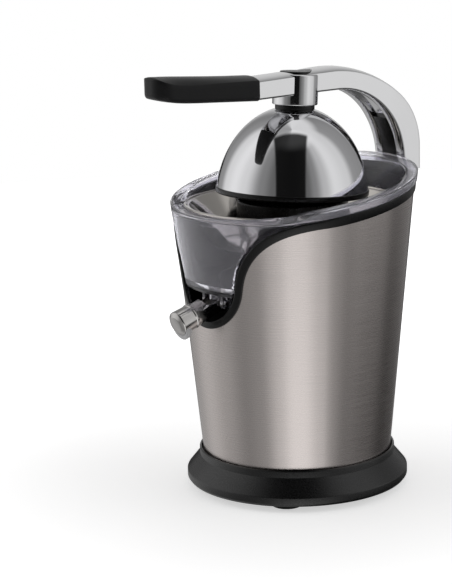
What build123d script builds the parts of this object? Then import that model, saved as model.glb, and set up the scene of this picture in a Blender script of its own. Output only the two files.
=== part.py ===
"""Electric citrus juicer with a press lever, in millimetres.

The origin lies on the reamer's axis, on the surface that the feet stand on.
+Z is up and the spout and the handle point to -Y. The lever is drawn as it
rests, with the dome a few degrees above the level pose that it presses in.
"""

import os
from math import asin, cos, degrees, pi, radians, sin, tan

from build123d import *

# Steel shell and the window in its front
rim_r = 98.9
plan = rim_r / 98.9
flare_out = 22.3
steel_foot_r = rim_r - flare_out
steel_foot_z = 30.3
steel_taper = 0.0958
steel_wall = 0.8
rim_z = 244.6
rim_tilt = 8.06
trim_drop = 14.5
lip_drop = 6.7
notch_z = 141.0
notch_r = 40.0 * plan
notch_turn = 77.0
notch_run = 7.0 * plan
flare_r = 62.0 * plan
flare_end = 78.0
trim_inset = 5.8
trim_proud = 1.2
trim_depth = 2.5

# Base
base_spread = 13.4
base_r = steel_foot_r + base_spread
base_wall = 3.0
skirt_low_z = 4.5
skirt_top_z = 12.0
bevel_top_z = 24.0
collar_top_z = 30.5
collar_gap = 1.2
ledge_t = 3.0
ledge_w = 7.0
cover_t = 3.0
cover_gap = 0.3
foot_r = 12.5
foot_inset = 20.5
foot_orbit = base_r - foot_inset
foot_angle = 45.0
foot_recess = 1.0
post_r = 4.0
post_angle = 22.5
base_screw_r = 1.5
screw_slip = 0.05
gland_z = 14.5
gland_r = 4.9
gland_bore = 3.4

# Inner housing
liner_gap = 0.35
liner_wall = 2.0
deck_z = 142.5
deck_t = 3.0
chimney_r = 10.5
chimney_top = 196.0
stand_inset = 37.9
tank_stand_r = rim_r - stand_inset
tank_stand_w = 3.0
stand_opening = 48.0
stalk_r = 5.0

# Juice container and strainer
tank_z = 169.0
tank_wall = 2.2
tank_floor = 3.0
tank_inset = 6.0
panel_inset = 12.5
panel_foot_r = rim_r - panel_inset
panel_foot_z = 176.0
panel_taper = 0.196
panel_gap = 0.6
rim_flare = 0.11
groove_w = 4.0
groove_d = 4.0
lip_wall = 2.4
tube_gap = 0.8
tube_top = 203.0
strainer_inset = 11.7
strainer_rim_r = rim_r - strainer_inset
strainer_rim_z = 230.7
strainer_t = 1.2
strainer_floor_z = 199.8
bowl_slope = 21.2
strainer_floor_r = strainer_rim_r - bowl_slope
strainer_slots = 32
ledge_reach = 3.0
ledge_in_r = strainer_rim_r - ledge_reach

# Spout
spout_inset = 22.5
spout_y = spout_inset - rim_r
spout_z = 160.7
spout_drop = 14.6
spout_len = 45.4
spout_r = 8.7
spout_wall = 1.4
spout_ball_r = 9.6
trunnion_r = 2.2
trunnion_len = 3.4
lug_gap = 0.4
outlet_r = 5.4
outlet_bore = 3.9

# Reamer and drive shaft
reamer_skirt_r = 45.0
reamer_skirt_z = 205.0
reamer_shoulder_z = 236.0
reamer_top_z = 282.0
reamer_wall = 3.0
reamer_cone_r = 36.0
reamer_ribs = 10
rib_t = 3.0
shaft_r = 5.0
shaft_hex = 9.0
hex_gap = 0.12
shaft_low_z = 105.6
shaft_top_z = 230.0
press_travel = 2.5
running_gap = 0.05

# Gear train
module = plan
output_teeth = 56
idler_pinion_teeth = 14
idler_teeth = 58
pinion_teeth = 12
tooth_share = 0.80
gear_low_z = 94.5
gear_low_t = 7.0
gear_high_z = 103.0
gear_high_t = 8.0
sleeve_r = 9.0
tray_z = 88.0
tray_t = 3.0
lid_z = 113.0
lid_t = 3.0
box_corner = 20.0 * module
box_w = 74.0 * module
box_l = 108.0 * module
box_mid_y = 17.0 * module
box_wall = 2.5
ear_w = 98.0 * module
ear_l = 76.0 * module
ear_mid_y = 10.0 * module
boss_inset = 8.0
boss_x = ear_w / 2 - boss_inset
boss_front_y = ear_mid_y - ear_l / 2 + boss_inset
boss_rear_y = ear_mid_y + ear_l / 2 - boss_inset
idler_pin_r = 3.0
lid_boss_r = 11.5
lid_boss_top = 122.0

# Motor
stator_z = 40.0
stator_h = 35.0
stator_w = 70.0 * module
coil_window_x = 24.0 * module
coil_window_w = 6.0
coil_window_l = 26.0 * module
rotor_r = 18.1 * module
air_gap = 0.4
rotor_shaft_r = 3.0
motor_bolt_xy = 29.0 * module
motor_bolt_r = 2.0
bracket_plate_z = 27.0
bracket_plate_t = 3.0
bush_r = 6.0

# Press switch
plate_z = 131.0
plate_t = 3.0
plate_r = 15.5
plate_slip = 0.4
switch_x = 28.0
switch_w = 12.0
switch_l = 22.0
switch_h = 10.0
button_r = 1.8
guide_x = -22.0
guide_r = 2.5
spring_r = 13.2
spring_wire = 0.7
spring_turns = 4

# Lever hinge
hinge_reach = 12.6
hinge_y = rim_r + hinge_reach
hinge_z = 236.0
hinge_pin_r = 3.0
hinge_bush_r = 4.5
ear_r = 7.0
ear_t = 4.5
hinge_half_w = 14.0
tongue_gap = 0.3
bracket_foot_z = 207.0
bracket_screw_r = 2.0

# Lever arm
rest_lift = 3.5
arm_behind = 11.0
arm_rear_y = hinge_y + arm_behind
arm_foot_z = 246.0
arm_turn_z = 266.0
arm_corner_r = 58.0
arm_corner_turn = 50.0
arm_back_r = 107.0
arm_before = 8.7
arm_inner_y = hinge_y - arm_before
arm_inner_r = 65.0
arm_inner_z = 252.5
arm_half_rear = 18.5
arm_half_front = 13.6
crown_h = 3.0
crown_w = 9.0
neck_y = -40.7
neck_top_z = 333.1
neck_low_z = 316.3
tang_half_w = 8.0
tang_h = 8.0
tang_len = 75.0
inlay_half_w = 8.5
inlay_t = 2.6
inlay_sweep = 78.0
hub_r = 18.0
hub_cap_r = 12.5
hub_cap_t = 3.2

# Grip
grip_half_w = 14.6
grip_end_y = -134.0
grip_top_z = 334.4
grip_mid_y = -84.0
grip_mid_z = 337.4
grip_tip_z = 340.7
grip_low_z = 315.2
grip_heel_y = -118.0
grip_heel_z = 320.6
grip_tip_low_z = 324.6
tang_gap = 0.1

# Dome, drawn level over the reamer and then lifted with the lever
dome_r = 60.3
dome_h = 65.0
dome_sink = 9.5
dome_ring_z = 235.1
dome_wall = 1.5
dome_ring_h = 4.5
dome_ring_proud = 0.9
liner_t = 2.5
liner_slip = 0.2
collar_r = 15.7
hub_low_z = 301.2
hub_shoulder_z = 325.5
dome_bolt_r = 4.0
dome_bolt_head_r = 8.0
dome_bolt_len = 22.0

os.makedirs("parts", exist_ok=True)


def steel_r(z):
    """Outer radius of the steel shell at a height."""
    return steel_foot_r + steel_taper * (z - steel_foot_z)


def rim_plane(drop):
    """The slanted plane of the container's rim, lowered by a drop."""
    tilt = radians(rim_tilt)
    return Plane(origin=(0, 0, rim_z - drop), x_dir=(1, 0, 0), z_dir=(0, -sin(tilt), cos(tilt)))


def cone_band(inner, outer, low, high):
    """Half section of a band that follows the steel's taper between two offsets from its face."""
    with BuildSketch(Plane.XZ) as band:
        with BuildLine():
            Polyline(
                (steel_r(low) + inner, low),
                (steel_r(low) + outer, low),
                (steel_r(high) + outer, high),
                (steel_r(high) + inner, high),
                close=True,
            )
        make_face()
    return band.sketch


def notch_face(inset):
    """Front outline of the window: a round bottom, a short straight and a flare on each side."""
    turn = radians(notch_turn)
    end = radians(flare_end)
    low_c = Vector(0, notch_z + notch_r)
    side = low_c + Vector(sin(turn), -cos(turn)) * notch_r + Vector(cos(turn), sin(turn)) * notch_run
    flare_c = side + Vector(sin(turn), -cos(turn)) * flare_r
    half_turn = turn / 2
    low = notch_r - inset
    high = flare_r + inset
    mid = (pi / 2 - turn + end) / 2
    bottom = low_c + Vector(0, -low)
    round_end = low_c + Vector(sin(turn), -cos(turn)) * low
    run_end = flare_c + Vector(-sin(turn), cos(turn)) * high
    flare_mid = flare_c + Vector(-cos(mid), sin(mid)) * high
    flare_tip = flare_c + Vector(-cos(end), sin(end)) * high
    top = rim_z + rim_r
    with BuildSketch(Plane.XZ) as face:
        with BuildLine():
            ThreePointArc(bottom, low_c + Vector(sin(half_turn), -cos(half_turn)) * low, round_end)
            Line(round_end, run_end)
            ThreePointArc(run_end, flare_mid, flare_tip)
            Polyline(flare_tip, (flare_tip.X, top), (0, top))
            mirror(about=Plane.YZ)
        make_face()
    return face.sketch


def gear_face(teeth, first_tooth):
    """Spur gear outline with straight flanks and room for backlash."""
    pitch_r = module * teeth / 2
    tip_r = pitch_r + 0.85 * module
    root_r = pitch_r - 1.15 * module
    half = pi / (2 * teeth) * tooth_share
    lean = tan(radians(20)) / pitch_r
    tip_half = half - 0.85 * module * lean
    root_half = half + 1.15 * module * lean
    points = []
    for tooth in range(teeth):
        mid = radians(first_tooth) + 2 * pi * tooth / teeth
        for r, a in ((root_r, -root_half), (tip_r, -tip_half), (tip_r, tip_half), (root_r, root_half)):
            points.append((r * cos(mid + a), r * sin(mid + a)))
    with BuildSketch() as face:
        with BuildLine():
            Polyline(*points, close=True)
        make_face()
    return face.sketch


# The window's far side of the shell, and the reach of every cut through it
reach = 1.4 * rim_r
shell_top = rim_z + rim_r * tan(radians(rim_tilt)) + 10
ledge_z = collar_top_z - 6.0
ledge_r = steel_r(collar_top_z) + collar_gap
collar_r_out = ledge_r + 1.7
cover_r = base_r - base_wall - 2.7
cover_top = skirt_low_z + cover_t
post_orbit = ledge_r - ledge_w / 2 - 0.6

# Base ring: skirt, bevel and collar, with a ledge inside that carries the shell
with BuildPart() as base_ring:
    with BuildSketch(Plane.XZ):
        with BuildLine():
            Polyline(
                (base_r - 1.5, skirt_low_z),
                (base_r, skirt_low_z + 2.0),
                (base_r, skirt_top_z),
                (collar_r_out + 0.5, bevel_top_z),
                (collar_r_out, bevel_top_z + 1.0),
                (collar_r_out, collar_top_z - 0.7),
                (collar_r_out - 0.7, collar_top_z),
                (ledge_r, collar_top_z),
                (ledge_r, ledge_z),
                (ledge_r - ledge_w, ledge_z),
                (ledge_r - ledge_w, ledge_z - ledge_t),
                (collar_r_out - 1.9, ledge_z - ledge_t),
                (base_r - base_wall, skirt_top_z - 1.1),
                (base_r - base_wall, cover_top + 0.2),
                (cover_r + cover_gap, cover_top + 0.2),
                (cover_r + cover_gap, skirt_low_z),
                close=True,
            )
        make_face()
    revolve(axis=Axis.Z)
    with BuildSketch(Plane.XY.offset(cover_top)):
        with PolarLocations(post_orbit, 4, start_angle=post_angle):
            Circle(post_r)
    extrude(amount=ledge_z - ledge_t + 0.5 - cover_top)
    with BuildSketch(Plane.XY.offset(cover_top)):
        with PolarLocations(post_orbit, 4, start_angle=post_angle):
            Circle(base_screw_r + screw_slip)
    extrude(amount=10, mode=Mode.SUBTRACT)
    with Locations((0, base_r - 5.0, gland_z)):
        Box(18, 12, 12)
    with Locations((0, base_r - 5.0, gland_z)):
        Cylinder(gland_r + screw_slip, 14, rotation=(90, 0, 0), mode=Mode.SUBTRACT)
base_ring.part.label = "base_ring"

# Bottom cover with pockets for the feet and slots for the motor's air
with BuildPart() as bottom_cover:
    with BuildSketch(Plane.XY.offset(skirt_low_z)):
        Circle(cover_r)
    extrude(amount=cover_t)
    with BuildSketch(Plane.XY.offset(skirt_low_z)):
        with PolarLocations(foot_orbit, 4, start_angle=foot_angle):
            Circle(foot_r + 0.2)
    extrude(amount=foot_recess, mode=Mode.SUBTRACT)
    with BuildSketch(Plane.XY.offset(skirt_low_z)):
        with PolarLocations(post_orbit, 4, start_angle=post_angle):
            Circle(base_screw_r * 2 + 0.4)
    extrude(amount=cover_t / 2, mode=Mode.SUBTRACT)
    with BuildSketch(Plane.XY.offset(skirt_low_z)):
        with PolarLocations(post_orbit, 4, start_angle=post_angle):
            Circle(base_screw_r + 0.3)
        with PolarLocations(32, 12):
            SlotOverall(22, 3.0)
    extrude(amount=cover_t, mode=Mode.SUBTRACT)
bottom_cover.part.label = "bottom_cover"

# Four rubber feet under the diagonals
with BuildPart() as rubber_feet:
    with BuildSketch():
        with PolarLocations(foot_orbit, 4, start_angle=foot_angle):
            Circle(foot_r)
    extrude(amount=skirt_low_z + foot_recess)
    chamfer(rubber_feet.edges().group_by(Axis.Z)[0], length=0.8)
rubber_feet.part.label = "rubber_feet"

# Four screws that hold the cover to the base ring's posts
with BuildPart() as base_screws:
    with BuildSketch(Plane.XY.offset(skirt_low_z)):
        with PolarLocations(post_orbit, 4, start_angle=post_angle):
            Circle(base_screw_r * 2)
    extrude(amount=cover_t / 2)
    with BuildSketch(Plane.XY.offset(skirt_low_z)):
        with PolarLocations(post_orbit, 4, start_angle=post_angle):
            Circle(base_screw_r)
    extrude(amount=cover_t + 8)
base_screws.part.label = "base_screws"

# Cord gland in the rear of the base
gland_face_y = base_r + 1.0
with BuildPart() as cord_gland:
    with BuildSketch(Plane.XZ.offset(-gland_face_y - 2.5)):
        with Locations((0, gland_z)):
            Circle(gland_r + 2.0)
    extrude(amount=2.5)
    with BuildSketch(Plane.XZ.offset(-gland_face_y)):
        with Locations((0, gland_z)):
            Circle(gland_r)
    extrude(amount=12)
    with BuildSketch(Plane.XZ.offset(-gland_face_y - 2.5)):
        with Locations((0, gland_z)):
            Circle(gland_bore)
    extrude(amount=15, mode=Mode.SUBTRACT)
cord_gland.part.label = "cord_gland"

# Bracket screws lie on the symmetry plane at the rear, one above the other
bracket_screw_zs = (bracket_foot_z + 8.0, bracket_foot_z + 22.0)
screw_locations = [(0, z) for z in bracket_screw_zs]

# Brushed steel shell: a slightly flared tube cut by the rim's slant and the window
with BuildPart() as steel_shell:
    add(cone_band(-steel_wall, 0, ledge_z, shell_top))
    revolve(axis=Axis.Z)
    split(bisect_by=rim_plane(trim_drop), keep=Keep.BOTTOM)
    extrude(notch_face(0), amount=reach, mode=Mode.SUBTRACT)
    with BuildSketch(Plane.XZ):
        with Locations(*screw_locations):
            Circle(bracket_screw_r + 0.2)
    extrude(amount=-reach, mode=Mode.SUBTRACT)
steel_shell.part.label = "steel_shell"

# What the shell covers, seen from outside: everything under the slant except the window
with BuildPart() as shell_zone:
    Cylinder(reach, 2 * shell_top)
    split(bisect_by=rim_plane(trim_drop), keep=Keep.BOTTOM)
    extrude(notch_face(0), amount=reach, mode=Mode.SUBTRACT)

# Black trim that edges the shell along the rim and around the window
with BuildPart() as rim_trim:
    add(cone_band(-trim_depth, trim_proud, notch_z - 5, shell_top))
    revolve(axis=Axis.Z)
    add(shell_zone.part, mode=Mode.SUBTRACT)
    split(bisect_by=rim_plane(lip_drop), keep=Keep.BOTTOM)
    extrude(notch_face(trim_inset), amount=reach, mode=Mode.SUBTRACT)
rim_trim.part.label = "rim_trim"

# Inner housing: a liner behind the shell with a ledge all round that carries the deck
liner_out = -steel_wall - liner_gap
liner_in = liner_out - liner_wall
deck_top = deck_z + deck_t
shaft_bush_r = chimney_r - 2.3
lid_top = lid_z + lid_t
gearbox_bosses = [(x, y) for x in (-boss_x, boss_x) for y in (boss_front_y, boss_rear_y)]
deck_ledge = 2.4
with BuildPart() as inner_housing:
    add(cone_band(liner_in, liner_out, ledge_z, shell_top))
    revolve(axis=Axis.Z)
    add(cone_band(liner_in - deck_ledge, liner_in + 0.1, deck_z - deck_ledge, deck_z))
    revolve(axis=Axis.Z)
    split(bisect_by=rim_plane(trim_drop), keep=Keep.BOTTOM)
    extrude(notch_face(0), amount=reach, mode=Mode.SUBTRACT)
    with BuildSketch(Plane.XZ):
        with Locations(*screw_locations):
            Circle(bracket_screw_r + 0.2)
    extrude(amount=-reach, mode=Mode.SUBTRACT)
inner_housing.part.label = "inner_housing"

# Deck over the drive, set on the ledge, with a chimney for the shaft and stalks for the gearbox
deck_slip = 0.2
with BuildPart() as housing_deck:
    with BuildSketch(Plane.XZ):
        with BuildLine():
            Polyline(
                (shaft_bush_r, deck_z),
                (steel_r(deck_z) + liner_in - deck_slip, deck_z),
                (steel_r(deck_top) + liner_in - deck_slip, deck_top),
                (chimney_r, deck_top),
                (chimney_r, chimney_top),
                (shaft_bush_r, chimney_top),
                close=True,
            )
        make_face()
    revolve(axis=Axis.Z)
    with BuildSketch(Plane.XY.offset(lid_top)):
        with Locations(*gearbox_bosses):
            Circle(stalk_r)
            Circle(motor_bolt_r + screw_slip, mode=Mode.SUBTRACT)
    extrude(amount=deck_z - lid_top)
housing_deck.part.label = "housing_deck"

# Ring wall on the deck, open at the front, that the juice container stands on
with BuildPart() as container_stand:
    with BuildSketch(Plane.XY.offset(deck_top)):
        Circle(tank_stand_r)
        Circle(tank_stand_r - tank_stand_w, mode=Mode.SUBTRACT)
        with Locations((0, -tank_stand_r)):
            Rectangle(stand_opening, tank_stand_r, mode=Mode.SUBTRACT)
    extrude(amount=tank_z - deck_top)
container_stand.part.label = "container_stand"

# Gearbox tray with a wall round the gears and standoffs for the motor
idler_y = module * (output_teeth + idler_pinion_teeth) / 2
stator_top = stator_z + stator_h
motor_bolts_xy = [(motor_bolt_xy, -motor_bolt_xy), (-motor_bolt_xy, motor_bolt_xy)]
with BuildPart() as gearbox_tray:
    with BuildSketch(Plane.XY.offset(tray_z)):
        with Locations((0, box_mid_y)):
            RectangleRounded(box_w, box_l, box_corner)
        with Locations((0, ear_mid_y)):
            RectangleRounded(ear_w, ear_l, 8)
    extrude(amount=tray_t)
    with BuildSketch(Plane.XY.offset(tray_z)):
        with Locations((0, box_mid_y)):
            RectangleRounded(box_w, box_l, box_corner)
            RectangleRounded(box_w - 2 * box_wall, box_l - 2 * box_wall, box_corner - box_wall, mode=Mode.SUBTRACT)
        with Locations(*gearbox_bosses):
            Circle(stalk_r)
    extrude(amount=lid_z - tray_z)
    with BuildSketch(Plane.XY.offset(stator_top)):
        with Locations(*motor_bolts_xy):
            Circle(stalk_r)
    extrude(amount=tray_z - stator_top)
    with BuildSketch(Plane.XY.offset(stator_top)):
        Circle(bush_r)
        with Locations((0, idler_y)):
            Circle(idler_pin_r)
        with Locations(*gearbox_bosses, *motor_bolts_xy):
            Circle(motor_bolt_r + screw_slip)
    extrude(amount=lid_z - stator_top, mode=Mode.SUBTRACT)
gearbox_tray.part.label = "gearbox_tray"

# Gearbox lid: carries the output gear's sleeve in its boss and a post that guides the switch plate
with BuildPart() as gearbox_lid:
    with BuildSketch(Plane.XY.offset(lid_z)):
        with Locations((0, box_mid_y)):
            RectangleRounded(box_w, box_l, box_corner)
        with Locations((0, ear_mid_y)):
            RectangleRounded(ear_w, ear_l, 8)
    extrude(amount=lid_t)
    with BuildSketch(Plane.XY.offset(lid_top)):
        Circle(lid_boss_r)
    extrude(amount=lid_boss_top - lid_top)
    with BuildSketch(Plane.XY.offset(lid_top)):
        with Locations((guide_x, 0)):
            Circle(guide_r)
    extrude(amount=plate_z + plate_t + 2 - lid_top)
    with BuildSketch(Plane.XY.offset(lid_z)):
        Circle(sleeve_r + running_gap)
        with Locations((0, idler_y)):
            Circle(idler_pin_r)
        with Locations(*gearbox_bosses):
            Circle(motor_bolt_r + screw_slip)
    extrude(amount=lid_boss_top - lid_z, mode=Mode.SUBTRACT)
gearbox_lid.part.label = "gearbox_lid"

# Four screws from below, through tray and lid, into the housing's stalks
with BuildPart() as gearbox_screws:
    with BuildSketch(Plane.XY.offset(tray_z - 3)):
        with Locations(*gearbox_bosses):
            Circle(motor_bolt_r * 2)
    extrude(amount=3)
    with BuildSketch(Plane.XY.offset(tray_z - 3)):
        with Locations(*gearbox_bosses):
            Circle(motor_bolt_r)
    extrude(amount=lid_top + 15 - tray_z)
gearbox_screws.part.label = "gearbox_screws"

# Motor stator: a square stack with a round bore
with BuildPart() as motor_stator:
    with BuildSketch(Plane.XY.offset(stator_z)):
        RectangleRounded(stator_w, stator_w, 6)
        Circle(rotor_r + air_gap, mode=Mode.SUBTRACT)
        with Locations(*motor_bolts_xy):
            Circle(motor_bolt_r + screw_slip, mode=Mode.SUBTRACT)
        with Locations((coil_window_x, 0), (-coil_window_x, 0)):
            RectangleRounded(coil_window_w, coil_window_l, 1, mode=Mode.SUBTRACT)
    extrude(amount=stator_h)
motor_stator.part.label = "motor_stator"

# Two coils, each wound through a window of the stack and round its outside
coil_reach = 8.0
coil_slip = 0.5
coil_in = coil_window_x - coil_window_w / 2 + coil_slip
coil_out = stator_w / 2 + 6.5
leg_out = coil_window_x + coil_window_w / 2
with BuildPart() as motor_coils:
    for side in (-1, 1):
        with BuildSketch(Plane.XY.offset(stator_z - coil_reach)):
            with Locations((side * (coil_in + coil_out) / 2, 0)):
                RectangleRounded(coil_out - coil_in, coil_window_l - 2 * coil_slip, 2)
        extrude(amount=stator_h + 2 * coil_reach)
        with BuildSketch(Plane.XZ.offset(-20)):
            with Locations((side * (stator_w / 2 + leg_out) / 2, stator_z + stator_h / 2)):
                Rectangle(stator_w / 2 - leg_out + 0.6, stator_h + 0.6)
        extrude(amount=40, mode=Mode.SUBTRACT)
motor_coils.part.label = "motor_coils"

# Bearing bracket under the stator, with sleeves that the bolts clamp
with BuildPart() as motor_bracket:
    with BuildSketch(Plane.XY.offset(bracket_plate_z)):
        with Locations(Rotation(0, 0, -45)):
            SlotCenterToCenter(2 * motor_bolt_xy * 2**0.5, 16)
        Circle(12)
        Circle(bush_r, mode=Mode.SUBTRACT)
    extrude(amount=bracket_plate_t)
    with BuildSketch(Plane.XY.offset(bracket_plate_z)):
        with Locations(*motor_bolts_xy):
            Circle(stalk_r)
    extrude(amount=stator_z - bracket_plate_z)
    with BuildSketch(Plane.XY.offset(bracket_plate_z)):
        with Locations(*motor_bolts_xy):
            Circle(motor_bolt_r + screw_slip)
    extrude(amount=stator_z - bracket_plate_z, mode=Mode.SUBTRACT)
motor_bracket.part.label = "motor_bracket"

# Two long bolts that hang the motor from the tray
with BuildPart() as motor_bolts:
    with BuildSketch(Plane.XY.offset(bracket_plate_z - 3)):
        with Locations(*motor_bolts_xy):
            Circle(motor_bolt_r * 2)
    extrude(amount=3)
    with BuildSketch(Plane.XY.offset(bracket_plate_z - 3)):
        with Locations(*motor_bolts_xy):
            Circle(motor_bolt_r)
    extrude(amount=tray_z + tray_t - bracket_plate_z + 3)
motor_bolts.part.label = "motor_bolts"

# Bronze bushes for the rotor, one in the bracket and one in the tray
with BuildPart() as motor_bushes:
    for low in (bracket_plate_z, tray_z):
        with BuildSketch(Plane.XY.offset(low)):
            Circle(bush_r)
            Circle(rotor_shaft_r + running_gap, mode=Mode.SUBTRACT)
        extrude(amount=bracket_plate_t)
motor_bushes.part.label = "motor_bushes"

# Rotor: core, shaft and the pinion on the shaft's top
pinion_top = gear_low_z + gear_low_t + 0.5
with BuildPart() as rotor_core:
    with BuildSketch(Plane.XY.offset(stator_z)):
        Circle(rotor_r)
        Circle(rotor_shaft_r, mode=Mode.SUBTRACT)
    extrude(amount=stator_h)
rotor_core.part.label = "rotor_core"

with BuildPart() as rotor_shaft:
    with BuildSketch(Plane.XY.offset(bracket_plate_z - 2)):
        Circle(rotor_shaft_r)
    extrude(amount=pinion_top - bracket_plate_z + 2)
    with BuildSketch(Plane.XY.offset(bracket_plate_z + bracket_plate_t + 0.3)):
        Circle(rotor_shaft_r + 2)
        Circle(rotor_shaft_r, mode=Mode.SUBTRACT)
    extrude(amount=stator_z - bracket_plate_z - bracket_plate_t - 0.3)
rotor_shaft.part.label = "rotor_shaft"

with BuildPart() as motor_pinion:
    add(gear_face(pinion_teeth, 90).moved(Pos(0, 0, gear_low_z - 0.5)))
    extrude(amount=pinion_top - gear_low_z + 0.5)
    with BuildSketch(Plane.XY.offset(gear_low_z - 0.5)):
        Circle(rotor_shaft_r)
    extrude(amount=pinion_top - gear_low_z + 0.5, mode=Mode.SUBTRACT)
motor_pinion.part.label = "motor_pinion"

# Idler: a steel pin between tray and lid, and a large and a small gear in one piece on it
with BuildPart() as idler_pin:
    with BuildSketch(Plane.XY.offset(tray_z)):
        with Locations((0, idler_y)):
            Circle(idler_pin_r)
    extrude(amount=lid_top - tray_z)
idler_pin.part.label = "idler_pin"

idler_top = gear_high_z + gear_high_t + 0.6
with BuildPart() as idler_gear:
    add(gear_face(idler_teeth, -90 + 180 / idler_teeth).moved(Pos(0, idler_y, gear_low_z)))
    extrude(amount=gear_low_t)
    add(gear_face(idler_pinion_teeth, -90 + 180 / idler_pinion_teeth).moved(Pos(0, idler_y, gear_low_z)))
    extrude(amount=idler_top - gear_low_z)
    with BuildSketch(Plane.XY.offset(tray_z + tray_t + 0.3)):
        with Locations((0, idler_y)):
            Circle(idler_pin_r + 2)
    extrude(amount=gear_low_z - tray_z - tray_t - 0.3)
    with BuildSketch(Plane.XY.offset(tray_z)):
        with Locations((0, idler_y)):
            Circle(idler_pin_r + running_gap)
    extrude(amount=lid_top - tray_z, mode=Mode.SUBTRACT)
idler_gear.part.label = "idler_gear"

# Output gear: its sleeve runs in the lid's boss and its hexagonal bore turns the shaft
sleeve_top = lid_boss_top + 2.0
with BuildPart() as output_gear:
    add(gear_face(output_teeth, 90).moved(Pos(0, 0, gear_high_z)))
    extrude(amount=gear_high_t)
    with BuildSketch(Plane.XY.offset(gear_high_z)):
        Circle(sleeve_r)
    extrude(amount=sleeve_top - gear_high_z)
    with BuildSketch(Plane.XY.offset(gear_high_z + gear_high_t)):
        Circle(sleeve_r + 3)
    extrude(amount=lid_z - gear_high_z - gear_high_t - 0.2)
    with BuildSketch(Plane.XY.offset(gear_high_z)):
        RegularPolygon(shaft_hex / 2 + hex_gap, 6, major_radius=False)
    extrude(amount=sleeve_top - gear_high_z, mode=Mode.SUBTRACT)
    with BuildSketch(Plane.XY.offset(lid_boss_top + 0.2)):
        Circle(sleeve_r + 1)
        Circle(sleeve_r - 0.6, mode=Mode.SUBTRACT)
    extrude(amount=1.0, mode=Mode.SUBTRACT)
output_gear.part.label = "output_gear"

# Circlip in the sleeve's groove, on top of the lid's boss
with BuildPart() as gear_circlip:
    with BuildSketch(Plane.XY.offset(lid_boss_top + 0.2)):
        Circle(sleeve_r + 2)
        Circle(sleeve_r - 0.6, mode=Mode.SUBTRACT)
        with Locations((0, -sleeve_r - 1)):
            Rectangle(3, 5, mode=Mode.SUBTRACT)
    extrude(amount=1.0)
gear_circlip.part.label = "gear_circlip"

# Switch plate: the shaft's collar presses it down on the spring and the switch's button
with BuildPart() as switch_plate:
    with BuildSketch(Plane.XY.offset(plate_z)):
        Circle(plate_r)
        with Locations((switch_x / 2, 0)):
            SlotOverall(switch_x + 10, 9)
        with Locations((guide_x / 2, 0)):
            SlotOverall(-guide_x + 12, 10)
        Circle(shaft_r + plate_slip, mode=Mode.SUBTRACT)
        with Locations((guide_x, 0)):
            Circle(guide_r + plate_slip, mode=Mode.SUBTRACT)
    extrude(amount=plate_t)
switch_plate.part.label = "switch_plate"

# Return spring round the lid's boss, from the lid to the plate: quarter turns of wire
spring_low = lid_top + spring_wire
spring_pitch = (plate_z - lid_top - 2 * spring_wire) / spring_turns


def spring_point(quarter):
    """A point of the spring's centre line, counted in quarter turns."""
    a = pi / 2 * quarter
    return Vector(spring_r * cos(a), spring_r * sin(a), spring_low + spring_pitch * quarter / 4)


with BuildPart() as return_spring:
    with BuildLine() as spring_path:
        for half in range(2 * spring_turns):
            ThreePointArc(spring_point(2 * half), spring_point(2 * half + 1), spring_point(2 * half + 2))
    with BuildSketch(Plane(origin=spring_point(0), x_dir=(1, 0, 0), z_dir=spring_path.line % 0)):
        Circle(spring_wire)
    sweep(path=spring_path.line)
return_spring.part.label = "return_spring"

# Microswitch on the lid and its button under the plate's arm
with BuildPart() as microswitch:
    with BuildSketch(Plane.XY.offset(lid_top)):
        with Locations((switch_x, 0)):
            Rectangle(switch_w, switch_l)
            Circle(button_r + 0.3, mode=Mode.SUBTRACT)
    extrude(amount=switch_h)
microswitch.part.label = "microswitch"

with BuildPart() as switch_button:
    with BuildSketch(Plane.XY.offset(lid_top + press_travel + 0.5)):
        with Locations((switch_x, 0)):
            Circle(button_r)
    extrude(amount=plate_z - 0.2 - lid_top - press_travel - 0.5)
switch_button.part.label = "switch_button"

# Drive shaft: hexagonal at both ends, with a collar that rests on the switch plate
collar_low = plate_z + plate_t + 0.2
with BuildPart() as drive_shaft:
    with BuildSketch(Plane.XY.offset(shaft_low_z)):
        RegularPolygon(shaft_hex / 2, 6, major_radius=False)
    extrude(amount=plate_z - 2 - shaft_low_z)
    with BuildSketch(Plane.XY.offset(plate_z - 4)):
        Circle(shaft_r)
    extrude(amount=tube_top + 2 - plate_z + 4)
    with BuildSketch(Plane.XY.offset(collar_low)):
        Circle(shaft_r + 4)
    extrude(amount=3.5)
    with BuildSketch(Plane.XY.offset(tube_top)):
        RegularPolygon(shaft_hex / 2, 6, major_radius=False)
    extrude(amount=shaft_top_z - tube_top)
drive_shaft.part.label = "drive_shaft"

# Bronze bush at the chimney's top and the seal above it
bush_len = 18.0
with BuildPart() as shaft_bush:
    with BuildSketch(Plane.XY.offset(chimney_top - bush_len)):
        Circle(shaft_bush_r)
        Circle(shaft_r + running_gap, mode=Mode.SUBTRACT)
    extrude(amount=bush_len)
shaft_bush.part.label = "shaft_bush"

with BuildPart() as shaft_seal:
    with BuildSketch(Plane.XY.offset(chimney_top)):
        Circle(chimney_r)
        Circle(shaft_r + 0.3, mode=Mode.SUBTRACT)
    extrude(amount=3.0)
shaft_seal.part.label = "shaft_seal"


# Spout pivot and the direction that the spout points in
drop = radians(spout_drop)
spout_dir = Vector(0, -cos(drop), -sin(drop))
lug_in = spout_ball_r + lug_gap
lug_r = trunnion_r + 2.6
tank_floor_top = tank_z + tank_floor
tube_r = chimney_r + tube_gap + tank_wall


def panel_r(z):
    """Outer radius of the container's front panel, which flares more than the shell."""
    return panel_foot_r + panel_taper * (z - panel_foot_z)


def lip_r(z):
    """Outer radius of the container's rim."""
    return rim_r + rim_flare * (z - rim_z)


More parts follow.
